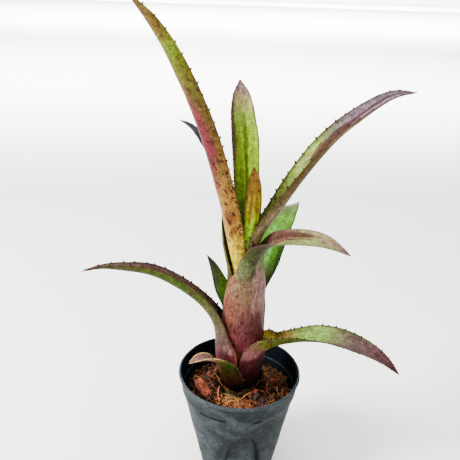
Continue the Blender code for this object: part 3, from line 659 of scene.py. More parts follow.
LOOKS = {
    "leaf_tall_left": Look(
        outside=shades(
            (0, 198, 132, 89), (3, 212, 206, 70), (4, 210, 198, 62), (4.6, 196, 174, 58),
            (5.5, 192, 164, 72), (6, 180, 150, 68), (6.7, 156, 128, 58), (7.2, 150, 128, 60),
            (7.7, 142, 134, 54), (8.2, 146, 148, 44), (8.5, 160, 180, 42), (8.8, 158, 158, 58),
            (9.3, 156, 132, 66), (10, 168, 142, 84)),
        inside=shades((0, 165, 177, 74), (4, 132, 165, 53), (8, 132, 153, 53), (10, 143, 118, 74)),
        spots=[
            (0, 0.2), (3.3, 0.45), (4.4, 0.75), (5, 1.0), (6.5, 1.0), (7.2, 0.75), (8, 0.7), (9, 0.6),
            (10, 0.3)],
        scurf=[(0, 0.3), (4, 0.15), (10, 0.15)],
        rim_amount=[(0, 0.3), (6, 0.15), (10, 0.3)],
        spot_colour=RED_BROWN, rim=tint(170, 112, 84), gloss=0.42, root=PALE_ROOT, tip=DARK_SPINE,
        patches=on(
            OUT, (3.7, 0.5, 0.8, 0.4, (206, 160, 136), 0.7), (4.75, 0.24, -0.3, 0.4, (146, 70, 46), 0.8),
            (5.25, 0.3, -0.3, 0.5, (150, 74, 48), 0.75), (4.2, 0.1, 0.1, 0.2, (140, 76, 46), 0.7),
            (5.7, 0.7, 0.7, 0.5, (178, 92, 66), 0.6), (6.85, 0.95, 0.1, 0.75, (158, 56, 76), 0.92),
            (6.9, 0.9, 0.8, 0.5, (164, 56, 80), 0.95), (6.4, 0.4, 0.3, 0.5, (150, 66, 56), 0.6),
            (8.2, 1.6, 0.95, 0.5, (186, 126, 108), 0.75), (8.9, 0.35, -0.3, 0.5, (150, 90, 44), 0.5))),
    "leaf_upright_back": Look(
        outside=shades((0, 183, 180, 66), (4, 134, 168, 33), (7, 159, 168, 77), (9, 146, 120, 121)),
        inside=shades(
            (0, 159, 180, 40), (3.6, 168, 190, 10), (5, 180, 196, 8), (6, 180, 196, 36), (7, 178, 192, 90),
            (7.6, 188, 186, 134), (8.3, 181, 160, 150), (9, 148, 124, 125)),
        spots=[(0, 0.1), (5, 0.12), (9, 0.2)],
        scurf=[(0, 0.05), (6.5, 0.1), (8, 0.4), (9, 0.3)],
        rim_amount=[(0, 0.55)],
        spot_colour=RED_BROWN, rim=tint(110, 78, 62), gloss=0.3, root=PALE_ROOT, tip=DARK_SPINE,
        patches=on(
            IN, (5.4, 2.1, 0.0, 0.2, (104, 132, 3), 0.85), (5.6, 1.7, 0.5, 0.2, (154, 176, 60), 0.6),
            (5.6, 1.7, -0.45, 0.18, (150, 174, 52), 0.6), (6.4, 2.3, -0.97, 0.42, (128, 92, 84), 0.9))),
    "leaf_young_centre": Look(
        outside=shades(
            (0, 202, 209, 52), (3, 199, 232, 25), (4, 204, 220, 30), (5, 202, 198, 40), (6, 188, 160, 56),
            (7, 166, 128, 72)),
        inside=shades((0, 168, 186, 63), (7, 146, 151, 42)),
        spots=[(0, 0.1), (3.6, 0.3), (4.6, 0.6), (6, 0.85), (7, 0.6)],
        scurf=[(0, 0.0), (7, 0.15)],
        rim_amount=[(0, 0.85)],
        spot_colour=tint(146, 66, 36), rim=tint(84, 98, 14), gloss=0.34, root=PALE_ROOT, tip=RED_BROWN,
        patches=on(
            OUT, (5.1, 1.1, 0.35, 0.13, (168, 74, 54), 0.7), (4.6, 1.8, -0.1, 0.16, (96, 104, 14), 0.5),
            (4.7, 1.8, 0.95, 0.3, (66, 88, 10), 0.9), (4.7, 1.8, -0.6, 0.34, (76, 98, 12), 0.85),
            # The tiny near-white dot at 5.3 is a painted glint
            (5.3, 0.028, 0.62, 0.03, (214, 214, 190), 0.9))),
    "leaf_arching_right": Look(
        outside=shades(
            (0, 121, 86, 55), (3, 160, 140, 100), (4, 190, 180, 138), (4.7, 186, 174, 134),
            (5.4, 168, 152, 106), (6, 145, 114, 68), (6.6, 134, 114, 59), (7.3, 140, 124, 66),
            (8, 166, 152, 104), (9, 172, 150, 120), (10, 145, 123, 119), (11, 114, 91, 97)),
        inside=shades(
            (0, 132, 140, 55), (5, 172, 176, 92), (6, 190, 198, 118), (6.6, 194, 208, 124),
            (7.4, 186, 202, 122), (7.9, 172, 172, 146), (8.5, 168, 154, 160), (9.3, 170, 154, 166),
            (10, 150, 134, 146), (11, 101, 78, 86)),
        spots=[(0, 0.3), (4, 0.75), (5.5, 0.7), (6.4, 0.45), (8, 0.45), (9.5, 0.4), (11, 0.2)],
        scurf=[(0, 0.2), (5, 0.35), (6.5, 0.15), (8, 0.25), (9, 0.6), (11, 0.3)],
        rim_amount=[(0, 0.45)],
        spot_colour=tint(92, 48, 31), rim=tint(120, 92, 62), gloss=0.42, root=tint(110, 88, 66),
        tip=tint(46, 34, 38),
        patches=on(
            # Inside: a maroon stripe along the channel by the near margin, partly the leaf's own colour and
            # partly painted shade in the channel, and at 6.9 a painted highlight in cream
            IN, (7.8, 1.7, -0.26, 0.26, (98, 44, 56), 0.95), (7.3, 0.5, -0.45, 0.24, (124, 62, 62), 0.8),
            (9.5, 1.2, -0.3, 0.18, (84, 54, 74), 0.85), (6.9, 0.8, -0.68, 0.16, (216, 214, 184), 0.7)) + on(
            OUT, (5.5, 0.9, -0.75, 0.4, (124, 130, 44), 0.8), (5.6, 0.8, 0.9, 0.25, (126, 128, 52), 0.6),
            (4.9, 0.5, 0.2, 0.4, (160, 118, 96), 0.5), (8.6, 1.5, 0.8, 0.2, (170, 140, 98), 0.6))),
    "leaf_back_left": Look(
        outside=shades(
            (0, 130, 124, 40), (3, 100, 100, 20), (5, 92, 96, 22), (6, 84, 92, 44), (7, 84, 88, 84),
            (8, 94, 94, 104), (10, 88, 88, 102)),
        inside=shades(
            (0, 110, 110, 30), (3, 92, 92, 16), (5, 84, 88, 18), (6, 78, 86, 40), (7, 80, 84, 80),
            (8, 92, 92, 102), (10, 88, 88, 102)),
        spots=[(0, 0.2), (4, 0.8), (6, 0.5), (10, 0.2)],
        scurf=[(0, 0.05), (7, 0.2), (10, 0.3)],
        rim_amount=[(0, 0.6), (6, 0.4), (10, 0.2)],
        spot_colour=tint(52, 34, 12), rim=tint(120, 110, 36), gloss=0.4, root=tint(130, 120, 44),
        tip=DARK_SPINE,
        patches=[]),
    "leaf_broad_back_right": Look(
        outside=shades(
            (0, 84, 62, 26), (4, 64, 70, 20), (7, 84, 108, 40), (9, 100, 108, 62), (11, 104, 84, 84)),
        inside=shades(
            (0, 66, 46, 18), (3, 70, 56, 14), (4.2, 80, 78, 18), (4.8, 98, 128, 30), (5.6, 114, 172, 40),
            (6.6, 124, 184, 50), (7.4, 124, 172, 60), (8, 122, 148, 76), (8.6, 116, 124, 92),
            (11, 104, 84, 84)),
        spots=[(0, 0.4), (4, 0.5), (5, 0.12), (7.5, 0.25), (11, 0.2)],
        scurf=[(0, 0.1), (6, 0.1), (8, 0.35), (11, 0.3)],
        rim_amount=[(0, 0.6)],
        spot_colour=tint(54, 38, 14), rim=tint(58, 84, 20), gloss=0.34, root=tint(84, 74, 26),
        tip=DARK_SPINE,
        patches=on(
            # The pale green stripe at 5.8, left of the middle, is a painted highlight
            IN, (5.8, 1.7, 0.8, 0.42, (78, 124, 24), 0.8), (5.8, 1.4, -0.3, 0.3, (150, 196, 116), 0.7),
            (7.9, 0.5, -0.75, 0.5, (120, 100, 94), 0.75), (8.0, 0.5, 0.6, 0.4, (116, 164, 84), 0.6))),
    "leaf_front_right": Look(
        outside=shades(
            (0, 78, 22, 28), (1, 104, 22, 40), (1.6, 134, 42, 58), (2.0, 140, 64, 70), (2.4, 148, 90, 84),
            (2.8, 161, 112, 88), (3.2, 169, 134, 101), (3.7, 167, 146, 108), (4.2, 152, 146, 97),
            (4.7, 139, 148, 90), (5.3, 123, 139, 77), (5.8, 99, 116, 53), (6.4, 81, 92, 44),
            (7.2, 101, 92, 73), (8, 143, 157, 99), (10, 154, 157, 110), (11, 121, 92, 99)),
        inside=shades(
            (0, 132, 134, 66), (6, 139, 112, 77), (7, 141, 108, 84), (8, 145, 108, 90), (9, 172, 168, 122),
            (10, 184, 170, 140), (11, 140, 106, 112)),
        spots=[(0, 0.7), (2.4, 0.8), (3, 0.6), (4.5, 0.5), (6, 0.6), (8, 0.3), (11, 0.3)],
        scurf=[(0, 0.2), (1.2, 0.38), (2.4, 0.5), (3.6, 0.6), (5, 0.5), (6, 0.3), (8, 0.25), (11, 0.3)],
        rim_amount=[(0, 0.4), (5, 0.3), (6, 0.1), (8, 0.35), (11, 0.3)],
        spot_colour=tint(84, 36, 35), rim=tint(160, 122, 104), gloss=0.46, root=tint(84, 56, 50),
        tip=tint(52, 34, 36),
        patches=on(
            OUT, (4.0, 0.7, 1.0, 0.16, (184, 128, 106), 0.75), (2.8, 0.8, 0.85, 0.35, (164, 104, 74), 0.8),
            (1.9, 0.7, 0.85, 0.38, (146, 76, 56), 0.75), (3.7, 1.7, 0.08, 0.32, (186, 154, 148), 0.85),
            (3.7, 1.7, 0.2, 0.05, (196, 176, 168), 0.7), (3.6, 1.5, 0.03, 0.035, (190, 164, 160), 0.6),
            (3.0, 1.2, -0.12, 0.06, (176, 140, 136), 0.5), (2.2, 0.7, 0.1, 0.3, (104, 26, 36), 0.7),
            (4.5, 0.6, 0.36, 0.12, (82, 66, 54), 0.75), (5.6, 0.5, 0.4, 0.16, (66, 60, 44), 0.6),
            (5.0, 0.9, 0.72, 0.18, (138, 154, 100), 0.6), (3.35, 0.12, 0.62, 0.05, (96, 56, 34), 0.8)) + on(
            IN, (8.8, 2.1, 0.5, 0.75, (162, 172, 108), 0.85), (8.4, 1.5, -0.55, 0.34, (104, 62, 44), 0.95),
            (8.3, 1.2, -0.12, 0.12, (110, 56, 60), 0.8), (9.7, 1.0, -0.85, 0.3, (178, 168, 134), 0.7),
            (9.75, 0.12, -0.3, 0.12, (196, 180, 160), 0.8))),
    "leaf_low_left": Look(
        outside=shades(
            (0, 56, 22, 22), (1, 110, 26, 46), (2, 136, 52, 68), (2.6, 128, 76, 78), (3.1, 130, 98, 92),
            (3.7, 132, 112, 92), (4.4, 132, 122, 82), (5, 130, 128, 72), (6, 112, 128, 48),
            (7, 92, 130, 24), (8, 102, 126, 38), (9, 112, 122, 58), (10, 100, 96, 56), (11, 104, 50, 42)),
        inside=shades(
            (0, 60, 42, 16), (3, 112, 84, 48), (4, 130, 100, 60), (5, 138, 108, 72), (6, 150, 120, 100),
            (7, 160, 128, 122), (8, 152, 118, 116), (9, 136, 108, 98), (10, 122, 104, 78),
            (11, 104, 50, 44)),
        spots=[(0, 0.7), (2, 0.8), (4, 0.5), (6, 0.35), (9, 0.35), (11, 0.4)],
        scurf=[(0, 0.2), (1, 0.45), (2.6, 0.5), (4, 0.32), (6, 0.25), (9, 0.3), (11, 0.2)],
        rim_amount=[(0, 0.3), (5, 0.5)],
        spot_colour=tint(82, 22, 34), rim=tint(84, 56, 44), gloss=0.46, root=tint(84, 58, 48),
        tip=tint(50, 34, 34),
        patches=on(
            BOTH, (2.4, 1.2, -1.0, 0.09, (176, 92, 58), 0.95),
            (1.3, 0.3, -1.0, 0.1, (196, 150, 110), 0.9)) + on(
            OUT, (2.0, 0.5, -0.5, 0.25, (92, 16, 38), 0.7), (1.4, 0.6, -0.8, 0.4, (90, 12, 32), 0.8),
            (2.7, 0.4, -0.8, 0.2, (178, 150, 146), 0.6), (7.0, 1.2, -0.2, 0.3, (88, 138, 12), 0.7),
            (7.5, 2.0, -0.94, 0.1, (150, 110, 84), 0.6), (6.35, 0.12, -0.5, 0.3, (108, 54, 26), 0.8),
            (7.4, 2.0, 0.93, 0.12, (184, 152, 132), 0.8))),
    "leaf_short_back_left": Look(
        outside=shades((0, 100, 80, 40), (3, 84, 96, 34), (5, 94, 88, 72), (6, 76, 62, 70)),
        inside=shades(
            (0, 116, 142, 34), (3, 144, 184, 46), (4, 152, 188, 64), (5, 140, 148, 90), (5.6, 104, 86, 86),
            (6, 78, 62, 72)),
        spots=[(0, 0.3), (6, 0.3)],
        scurf=[(0, 0.1), (4, 0.2), (6, 0.4)],
        rim_amount=[(0, 0.6)],
        spot_colour=tint(60, 46, 30), rim=tint(72, 58, 46), gloss=0.4, root=tint(80, 62, 50),
        tip=tint(52, 38, 38),
        patches=on(
            IN, (4.5, 1.7, -0.8, 0.5, (122, 118, 92), 0.85), (4.6, 0.4, 0.1, 0.2, (112, 114, 40), 0.5))),
    "leaf_low_right": Look(
        outside=shades(
            (0, 44, 18, 16), (0.9, 58, 22, 22), (1.6, 74, 18, 24), (2.4, 96, 22, 32), (3.1, 116, 34, 50),
            (3.8, 148, 88, 92), (4.3, 160, 122, 92), (4.8, 140, 136, 44), (5.5, 118, 132, 20),
            (6.5, 98, 120, 18), (7.5, 92, 112, 34), (8.5, 112, 106, 76), (10, 124, 98, 96),
            (12, 86, 58, 66)),
        inside=shades(
            (0, 100, 70, 30), (2.9, 170, 150, 50), (3.4, 206, 196, 70), (4.2, 206, 194, 68),
            (5, 194, 178, 66), (5.9, 180, 160, 76), (6.5, 168, 152, 80), (7.1, 154, 172, 86),
            (8.1, 162, 186, 100), (8.8, 148, 154, 104), (9.3, 130, 116, 100), (10, 126, 96, 94),
            (11, 114, 76, 76), (11.5, 104, 50, 50), (12, 56, 42, 46)),
        spots=[(0, 0.8), (2, 0.7), (4.6, 0.5), (5.4, 0.7), (6.6, 0.5), (8.5, 0.2), (10, 0.45), (12, 0.4)],
        scurf=[
            (0, 0.15), (1.6, 0.18), (2.9, 0.28), (3.7, 0.6), (4.4, 0.4), (6, 0.2), (9, 0.3), (10.5, 0.6),
            (12, 0.2)],
        rim_amount=[(0, 0.15), (4.6, 0.2), (6, 0.5)],
        spot_colour=tint(86, 34, 28), rim=tint(88, 74, 50), gloss=0.44, root=tint(84, 88, 34),
        tip=tint(54, 44, 24),
        patches=on(
            OUT, (1.3, 1.9, 0.1, 0.36, (52, 28, 18), 0.9), (3.6, 0.6, 0.75, 0.4, (178, 132, 128), 0.7),
            (4.0, 0.7, 0.1, 0.3, (112, 86, 40), 0.7), (6.2, 1.4, 0.15, 0.25, (78, 96, 14), 0.6)) + on(
            IN, (9.2, 2.1, 0.8, 0.55, (134, 112, 108), 0.85), (9.6, 1.6, -0.95, 0.2, (128, 128, 88), 0.6),
            (8.55, 0.11, -0.1, 0.12, (104, 112, 16), 0.9), (10.6, 0.13, 0.1, 0.16, (116, 54, 42), 0.85),
            (5.1, 0.5, -0.9, 0.25, (158, 156, 50), 0.7))),
    "leaf_stub_front_left": Look(
        outside=shades(
            (0, 34, 22, 14), (1, 48, 28, 20), (2, 80, 50, 24), (3, 98, 74, 26), (3.6, 66, 84, 16),
            (4.3, 84, 102, 22), (4.9, 108, 108, 40), (5.5, 164, 138, 100), (6.2, 176, 146, 132),
            (7.4, 166, 138, 124), (8, 178, 146, 112)),
        inside=shades(
            (0, 50, 50, 16), (3, 76, 90, 22), (4.6, 118, 112, 54), (5.4, 160, 130, 108),
            (6.6, 154, 114, 102), (8, 160, 122, 98)),
        spots=[(0, 0.3), (3, 0.3), (5, 0.4), (7, 0.7), (8, 0.3)],
        scurf=[(0, 0.0), (4.6, 0.05), (6, 0.5), (8, 0.5)],
        rim_amount=[(0, 0), (4.7, 0.05), (5.4, 0.75), (8, 0.9)],
        spot_colour=tint(96, 50, 42), rim=tint(216, 204, 174), gloss=0.5, root=tint(112, 92, 50),
        tip=tint(146, 118, 84),
        patches=on(
            # The near-black patch at 0.9 is partly the sheath's own dark brown and partly painted shade
            OUT, (0.9, 1.2, -0.6, 0.7, (32, 18, 10), 0.6), (3.3, 0.6, -0.9, 0.3, (58, 40, 16), 0.6))),
}

# Pale calluses, as station, margin and size, and dried strips, as first and last station, margin and
# thickness
KNOBS = {
    "leaf_tall_left": [(4.62, -1, 0.9), (4.8, -1, 0.8), (4.3, -1, 0.6)],
    "leaf_arching_right": [(4.75, -1, 1.0), (6.25, -1, 0.5)],
    "leaf_low_right": [(4.6, 1, 0.8)],
}
STRIPS = {"leaf_low_left": [(1.2, 3.3, -1, 2.3)]}
FIRST_LEAF_SEED = 100


def make_leaf(leaf, seed):
    rng = random.Random(seed)
    look = LOOKS[leaf.name]
    form = LeafForm(leaf, rng)
    piece = Piece()
    add_blade(piece, form)
    add_spines(piece, form, leaf, rng)
    for knob in KNOBS.get(leaf.name, []):
        add_knob(piece, form, *knob)
    for strip in STRIPS.get(leaf.name, []):
        add_strip(piece, form, *strip)
    materials = [leaf_material(leaf, look), spine_material(leaf, look)]
    piece.build(leaf.name + "_fine", materials, leaf.name)


# The pot: a rolled lip, a collar, a shoulder below it and a tapered body with four moulded arches
POT_HEIGHT = 90.0
RIM_RADIUS = 50.0
COLLAR_TOP = 86.4
COLLAR_TOP_RADIUS = 48.6
COLLAR_FOOT = 75.0
COLLAR_FOOT_RADIUS = 47.2
SHOULDER_RADIUS = 46.6
SHOULDER_FOOT = 61.0
SHOULDER_RISE = 13.2
SHOULDER_SAG = 0.25
BODY_TOP_RADIUS = 43.6
BODY_FOOT_RADIUS = 32.3
WALL = 1.0
CENTRE_HOLE = 0.6
POT_SEGMENTS = 288
# Rows of the wall as first and last height and their number, outside going up and inside going down
BODY_ROWS = ((1.4, 40, 30), (40.8, 58.5, 22))
SHOULDER_ROWS = 12
COLLAR_ROWS = (76.5, 86.0, 8)
COLLAR_ROWS_INSIDE = (86.0, 75.8, 8)
SHOULDER_ROWS_INSIDE = 6
BODY_ROWS_INSIDE = (58, 2, 36)
# The step at the collar's foot, outside and inside
STEP = [(SHOULDER_RADIUS + 0.12, 74.6), (COLLAR_FOOT_RADIUS - 0.1, 74.9), (COLLAR_FOOT_RADIUS, 75.3)]
STEP_INSIDE = [(COLLAR_FOOT_RADIUS - WALL - 0.1, 75.2), (SHOULDER_RADIUS - WALL - 0.1, 74.6)]
# The bevel round the foot, part of an ellipse: its inset, its two half axes, and the turn and rows it runs
BEVEL_INSET = 1
BEVEL_REACH = 1.1
BEVEL_HEIGHT = 1
BEVEL_TURN = 1.4
BEVEL_ROWS = 6
# Further rings of the flat floor, under it and inside it
UNDER_MIDDLE = 8
UNDER_EDGE = BODY_FOOT_RADIUS - 2.6
FLOOR_EDGE = BODY_FOOT_RADIUS - 3.2
# The rolled lip's section, from its outer foot over the top, as distances inside the rim and below the top
LIP = [(1.3, 3.3), (0.8, 3.0), (0.25, 2.6), (0, 1.9), (0.05, 1.1), (0.4, 0.5), (0.9, 0.15), (1.4, 0),
       (1.9, 0.2), (2.25, 0.7), (2.4, 1.4)]
ARCHES = 4
ARCH_FIRST = -82.0
ARCH_TOP = 57.0
ARCH_FOOT = -2.0
ARCH_HALF_ANGLE = 25.0
ARCH_DEPTH = 1.8
ARCH_WALL = 1.3
# The painted shade along an arch's wall: how far inside the edge its line runs, the line's width and how
# much wider it is on one side, the turn from the arch's middle where it starts, and the turn over which it
# widens
ARCH_SHADE_AT = 0.9
ARCH_SHADE_WIDTH = 0.65
ARCH_SHADE_WIDER = 0.85
ARCH_SHADE_FROM = 0.1
ARCH_SHADE_EASE = 0.12
DRAIN_HOLES = 6
DRAIN_RADIUS = 3.0
DRAIN_CIRCLE = 17.0
DRAIN_CLEAR = 5.0
DRAIN_SIDES = 32
DRILL_FROM = -1.0
DRILL_LENGTH = 4.0
# Where the collar stands off the wall over a gap painted dark as shade: from and to in degrees round the
# pot, and depth
COLLAR_GAPS = [(-131, -100, 1.2), (-77, -64, 0.8), (20, 48, 0.9), (120, 160, 1.0)]
COLLAR_GAP_FROM = 72.4
COLLAR_GAP_EASE = 4
# Heights between which the lip's foot is painted dark as shade under the lip, how dark it is, and how pale
# the painted highlight on the lip's top and the inner ledge is
LIP_FOOT_FROM = 86.3
LIP_FOOT_TO = 87.2
LIP_FOOT_SHADE = 0.75
LIP_PALE = 0.35
LEDGE_PALE = 0.3
LEDGE_REACH = 0.6
# The wall's slight unevenness, above its foot
UNEVEN = 0.22
UNEVEN_FROM = 1.5
POT_SEED = 5


def arch_reach(r, z, a):
    """How far inside the edge of the nearest arch a point lies, and its turn from the arch's middle."""
    half = radians(ARCH_HALF_ANGLE)
    pitch = 2 * pi / ARCHES
    turn = (a - radians(ARCH_FIRST) + pitch / 2) % pitch - pitch / 2
    rise = (z - ARCH_FOOT) / (ARCH_TOP - ARCH_FOOT)
    e = np.sqrt((turn / half) ** 2 + rise ** 2) + 1e-6
    steep = np.sqrt((turn / (half ** 2 * e * r)) ** 2 + (rise / (e * (ARCH_TOP - ARCH_FOOT))) ** 2)
    return (1 - e) / steep, turn


def arch_depth(r, z, a):
    """How deep the moulded arches press the wall in at a height and an angle."""
    return ARCH_DEPTH * smooth(arch_reach(r, z, a)[0] / ARCH_WALL)


def arch_shade(r, z, a):
    """Painted shade along the arches' walls: a broad line on one side, a thin one on the other."""
    reach, turn = arch_reach(r, z, a)
    wide = smooth((turn - ARCH_SHADE_FROM) / ARCH_SHADE_EASE)
    line = np.exp(-((reach - ARCH_SHADE_AT) / (ARCH_SHADE_WIDTH + ARCH_SHADE_WIDER * wide)) ** 2)
    return np.minimum(1, 1.3 * line) * (0.85 + 0.15 * wide) * smooth(np.abs(turn) / ARCH_SHADE_FROM)


def body_radius(z):
    return BODY_FOOT_RADIUS + (BODY_TOP_RADIUS - BODY_FOOT_RADIUS) * z / SHOULDER_FOOT


def collar_radius(z):
    share = (z - COLLAR_FOOT) / (COLLAR_TOP - COLLAR_FOOT)
    return COLLAR_FOOT_RADIUS + (COLLAR_TOP_RADIUS - COLLAR_FOOT_RADIUS) * share


def shoulder_point(share, eased):
    """A point of the shoulder's outside, from its share of the rise and of the widening."""
    radius = BODY_TOP_RADIUS + (SHOULDER_RADIUS - BODY_TOP_RADIUS) * eased
    return radius, SHOULDER_FOOT + SHOULDER_RISE * share


def pot_rows():
    """The pot's closed section as (radius, height, whether the arches press it), from under the floor."""
    near, far = DRAIN_CIRCLE - DRAIN_CLEAR, DRAIN_CIRCLE + DRAIN_CLEAR
    under = [(r, 0.0) for r in (CENTRE_HOLE, UNDER_MIDDLE, near, far, UNDER_EDGE)]
    bevel = [(BODY_FOOT_RADIUS - BEVEL_INSET + sin(t) * BEVEL_REACH, (1 - cos(t)) * BEVEL_HEIGHT)
             for t in np.linspace(0, BEVEL_TURN, BEVEL_ROWS)]
    body = [(body_radius(z), z) for rows in BODY_ROWS for z in np.linspace(*rows)]
    outside = [shoulder_point(s, s * (1 - SHOULDER_SAG * (1 - s))) for s in np.linspace(0, 1, SHOULDER_ROWS)]
    outside += STEP + [(collar_radius(z), z) for z in np.linspace(*COLLAR_ROWS)]
    lip = [(RIM_RADIUS - inside, POT_HEIGHT - below) for inside, below in LIP]
    inside = [(collar_radius(z) - WALL, z) for z in np.linspace(*COLLAR_ROWS_INSIDE)] + STEP_INSIDE
    for s in np.linspace(1, 0, SHOULDER_ROWS_INSIDE):
        r, z = shoulder_point(s, s)
        inside.append((r - WALL, z))
    inner_body = [(body_radius(z) - WALL, z) for z in np.linspace(*BODY_ROWS_INSIDE)]
    floor = [(r, WALL) for r in (FLOOR_EDGE, far, near, CENTRE_HOLE)]
    stretches = ((under, False), (bevel + body, True), (outside + lip + inside, False), (inner_body, True),
                 (floor, False))
    return [(r, z, pressed) for stretch, pressed in stretches for r, z in stretch]


def pot_wall():
    """The pot's rings of points from pot_rows, and each point's painted shade, painted highlight and side.
    """
    uneven = bumps(random.Random(POT_SEED), 60, 12)
    angles = turns(POT_SEGMENTS)
    around = np.degrees((angles + pi) % (2 * pi) - pi)
    gap = sum(smooth((around - a) / COLLAR_GAP_EASE) * smooth((b - around) / COLLAR_GAP_EASE) * depth
              for a, b, depth in COLLAR_GAPS)
    gap = gap * (1 + 0.3 * np.sin(angles * 31) * np.sin(angles * 13))
    rows = pot_rows()
    crest = max(range(len(rows)), key=lambda k: rows[k][1])
    rings, places = [], []
    for k, (r, z, pressed) in enumerate(rows):
        outside = k <= crest
        radius = r - (arch_depth(r, z, angles) if pressed else 0 * angles)
        painted_shade, pale = 0 * angles, 0 * angles
        # Painted shade along the arches' walls
        if pressed and outside:
            painted_shade = arch_shade(r, z, angles)
        # The gap under the collar is pressed in and painted dark as shade
        if outside and COLLAR_GAP_FROM < z < COLLAR_FOOT:
            radius -= 0.8 * gap
            painted_shade = np.clip(2.0 * gap, 0, 1)
        # Painted shade at the lip's foot, and a painted highlight on the lip's top and the inner ledge
        if outside and LIP_FOOT_FROM < z < LIP_FOOT_TO:
            painted_shade += LIP_FOOT_SHADE
        if outside and z > LIP_FOOT_TO:
            pale += LIP_PALE
        if not outside and abs(z - COLLAR_FOOT) < LEDGE_REACH:
            pale += LEDGE_PALE
        if z > UNEVEN_FROM:
            radius += UNEVEN * uneven(angles * 45, z)
        rings.append(ring(radius, z, angles))
        places.append(np.stack([painted_shade, pale, 0 * angles + (0 if outside else 1)], -1))
    return np.array(rings), np.array(places)


def drain_drill():
    """Round bars through the floor, one for each drain hole."""
    drill = Piece()
    for a in turns(DRAIN_HOLES) + pi / DRAIN_HOLES:
        centre = (DRAIN_CIRCLE * cos(a), DRAIN_CIRCLE * sin(a), 0)
        bar = ring(DRAIN_RADIUS, DRILL_FROM, turns(DRAIN_SIDES)) + centre
        drill.add(np.array([bar, bar + (0, 0, DRILL_LENGTH)]), capped_tube(2, DRAIN_SIDES))
    return put_in_scene("drain_drill", drill.mesh("drain_drill"))


def make_pot(material):
    points, places = pot_wall()
    piece = Piece()
    piece.add(points, tube_faces(len(points), POT_SEGMENTS, closed_rows=True), place=places)
    pot = piece.build("pot_fine", [material], "pot")
    drill = drain_drill()
    cut = pot.modifiers.new("drain_holes", "BOOLEAN")
    cut.object = drill
    cut.solver = "EXACT"
    with bpy.context.temp_override(object=pot, active_object=pot, selected_objects=[pot]):
        bpy.ops.object.modifier_apply(modifier=cut.name)
    bpy.data.objects.remove(drill)
    restore_places(pot.data, points.reshape(-1, 3), places.reshape(-1, 3))


def restore_places(mesh, points, places):
    """Gives each point of a cut mesh the place that the nearest point had before the cut."""
    tree = KDTree(len(points))
    for index, point in enumerate(points * MM):
        tree.insert(point, index)
    tree.balance()
    nearest = [tree.find(vertex.co)[1] for vertex in mesh.vertices]
    write_places(mesh, points[nearest], places[nearest])


# The growing mix: its level at the wall, the heap round the plant, the mesh of its bed, and the coarse and
# fine unevenness of its top, which fades at both edges
MIX_LEVEL = 70.5
MIX_HEAP = 5.0
MIX_HEAP_RADIUS = 21.0
MIX_HEAP_WIDTH = 7.5
MIX_HOLE = 12.9
MIX_WALL = 43.6
MIX_FOOT = 58.5
MIX_SEGMENTS = 220
MIX_ROWS = 58
MIX_FOOT_INSET = 3.2
MIX_SETTLED = 0.8
MIX_COARSE = 1.5
MIX_FINE = 0.8
MIX_EDGE = 2.0

# Husk chips: how many lie loose, where and in which sizes, and how finely they are meshed
LOOSE_CHIPS = 300
CHIPS_FROM = 23.5
CHIPS_TO = 42.0
CHIP_SIZES = (1.3, 1.8, 2.4, 3.2, 4.6)
FINE_CHIP_LENGTH = 8.5
FINE_CHIP_MESH = (12, 22)
CHIP_MESH = (8, 13)
GRAIN_STRETCH = 0.16
CRUMBS = 260
CRUMBS_FROM = 24.0
CRUMBS_TO = 41.5

Chip = namedtuple("Chip", "x y up length width height turn tilt tone")
LARGE_CHIPS = [
    Chip(-28.5, -7.5, 2.0, 22, 10, 6, -40, 20, 0.88),
    Chip(15, -17, 1.0, 7, 6, 5, 15, -8, 0.16),
    Chip(19.5, -19, 0.6, 6.5, 6, 4.5, 70, 10, 0.13),
    Chip(17.5, -21.5, 0.2, 7, 5, 4, -20, 5, 0.18),
    Chip(21.5, -16, 0.4, 5, 4.5, 4, 40, 12, 0.12),
    Chip(13.5, -10.5, 2.5, 6.5, 4.5, 4, 60, 20, 1.0),
    Chip(9.8, -13.5, 2.0, 5.5, 4, 3.5, 10, -15, 0.97),
    Chip(28, -12, 1.0, 9, 6, 5, 110, 15, 0.5),
    Chip(-31, 8, 1.0, 10, 7, 5, 60, -12, 0.45),
    Chip(-18, -26, 1.0, 9, 6, 4, 30, 12, 0.3),
    Chip(30, 9, 1.5, 9, 5, 4.5, 70, 25, 0.85),
    Chip(24, -24, 1.0, 10, 6, 4, -20, 10, 0.7),
    Chip(5, 30, 1.0, 12, 8, 5, 20, 10, 0.6),
    Chip(-14, 27, 1.0, 10, 7, 5, 100, -10, 0.7),
    Chip(22, 24, 1.0, 11, 7, 5, 45, 8, 0.4),
]
MIX_SEED = 21
CHIPS_SEED = 31
FIBRES_SEED = 41
DRY_SEED = 51


def mix_height(r):
    return MIX_LEVEL + MIX_HEAP * np.exp(-((r - MIX_HEAP_RADIUS) / MIX_HEAP_WIDTH) ** 2)


def make_mix_bed(material):
    rng = random.Random(MIX_SEED)
    rough, fine = bumps(rng, 16, 4), bumps(rng, 4.5, 1.4, 30)
    angles = turns(MIX_SEGMENTS)
    rings = [ring(r, MIX_FOOT, angles) for r in (MIX_HOLE, MIX_WALL - MIX_FOOT_INSET)]
    for r in np.linspace(MIX_WALL, MIX_HOLE, MIX_ROWS):
        edge = smooth((MIX_WALL - r) / MIX_EDGE) * smooth((r - MIX_HOLE) / MIX_EDGE)
        x, y = r * np.cos(angles), r * np.sin(angles)
        lift = MIX_COARSE * rough(x, y) + MIX_FINE * fine(x, y)
        rings.append(ring(r, mix_height(r) - MIX_SETTLED + lift * edge, angles))
    piece = Piece()
    piece.add(np.array(rings), tube_faces(len(rings), MIX_SEGMENTS, closed_rows=True))
    piece.build("mix_bed", [material], "growing_mix")


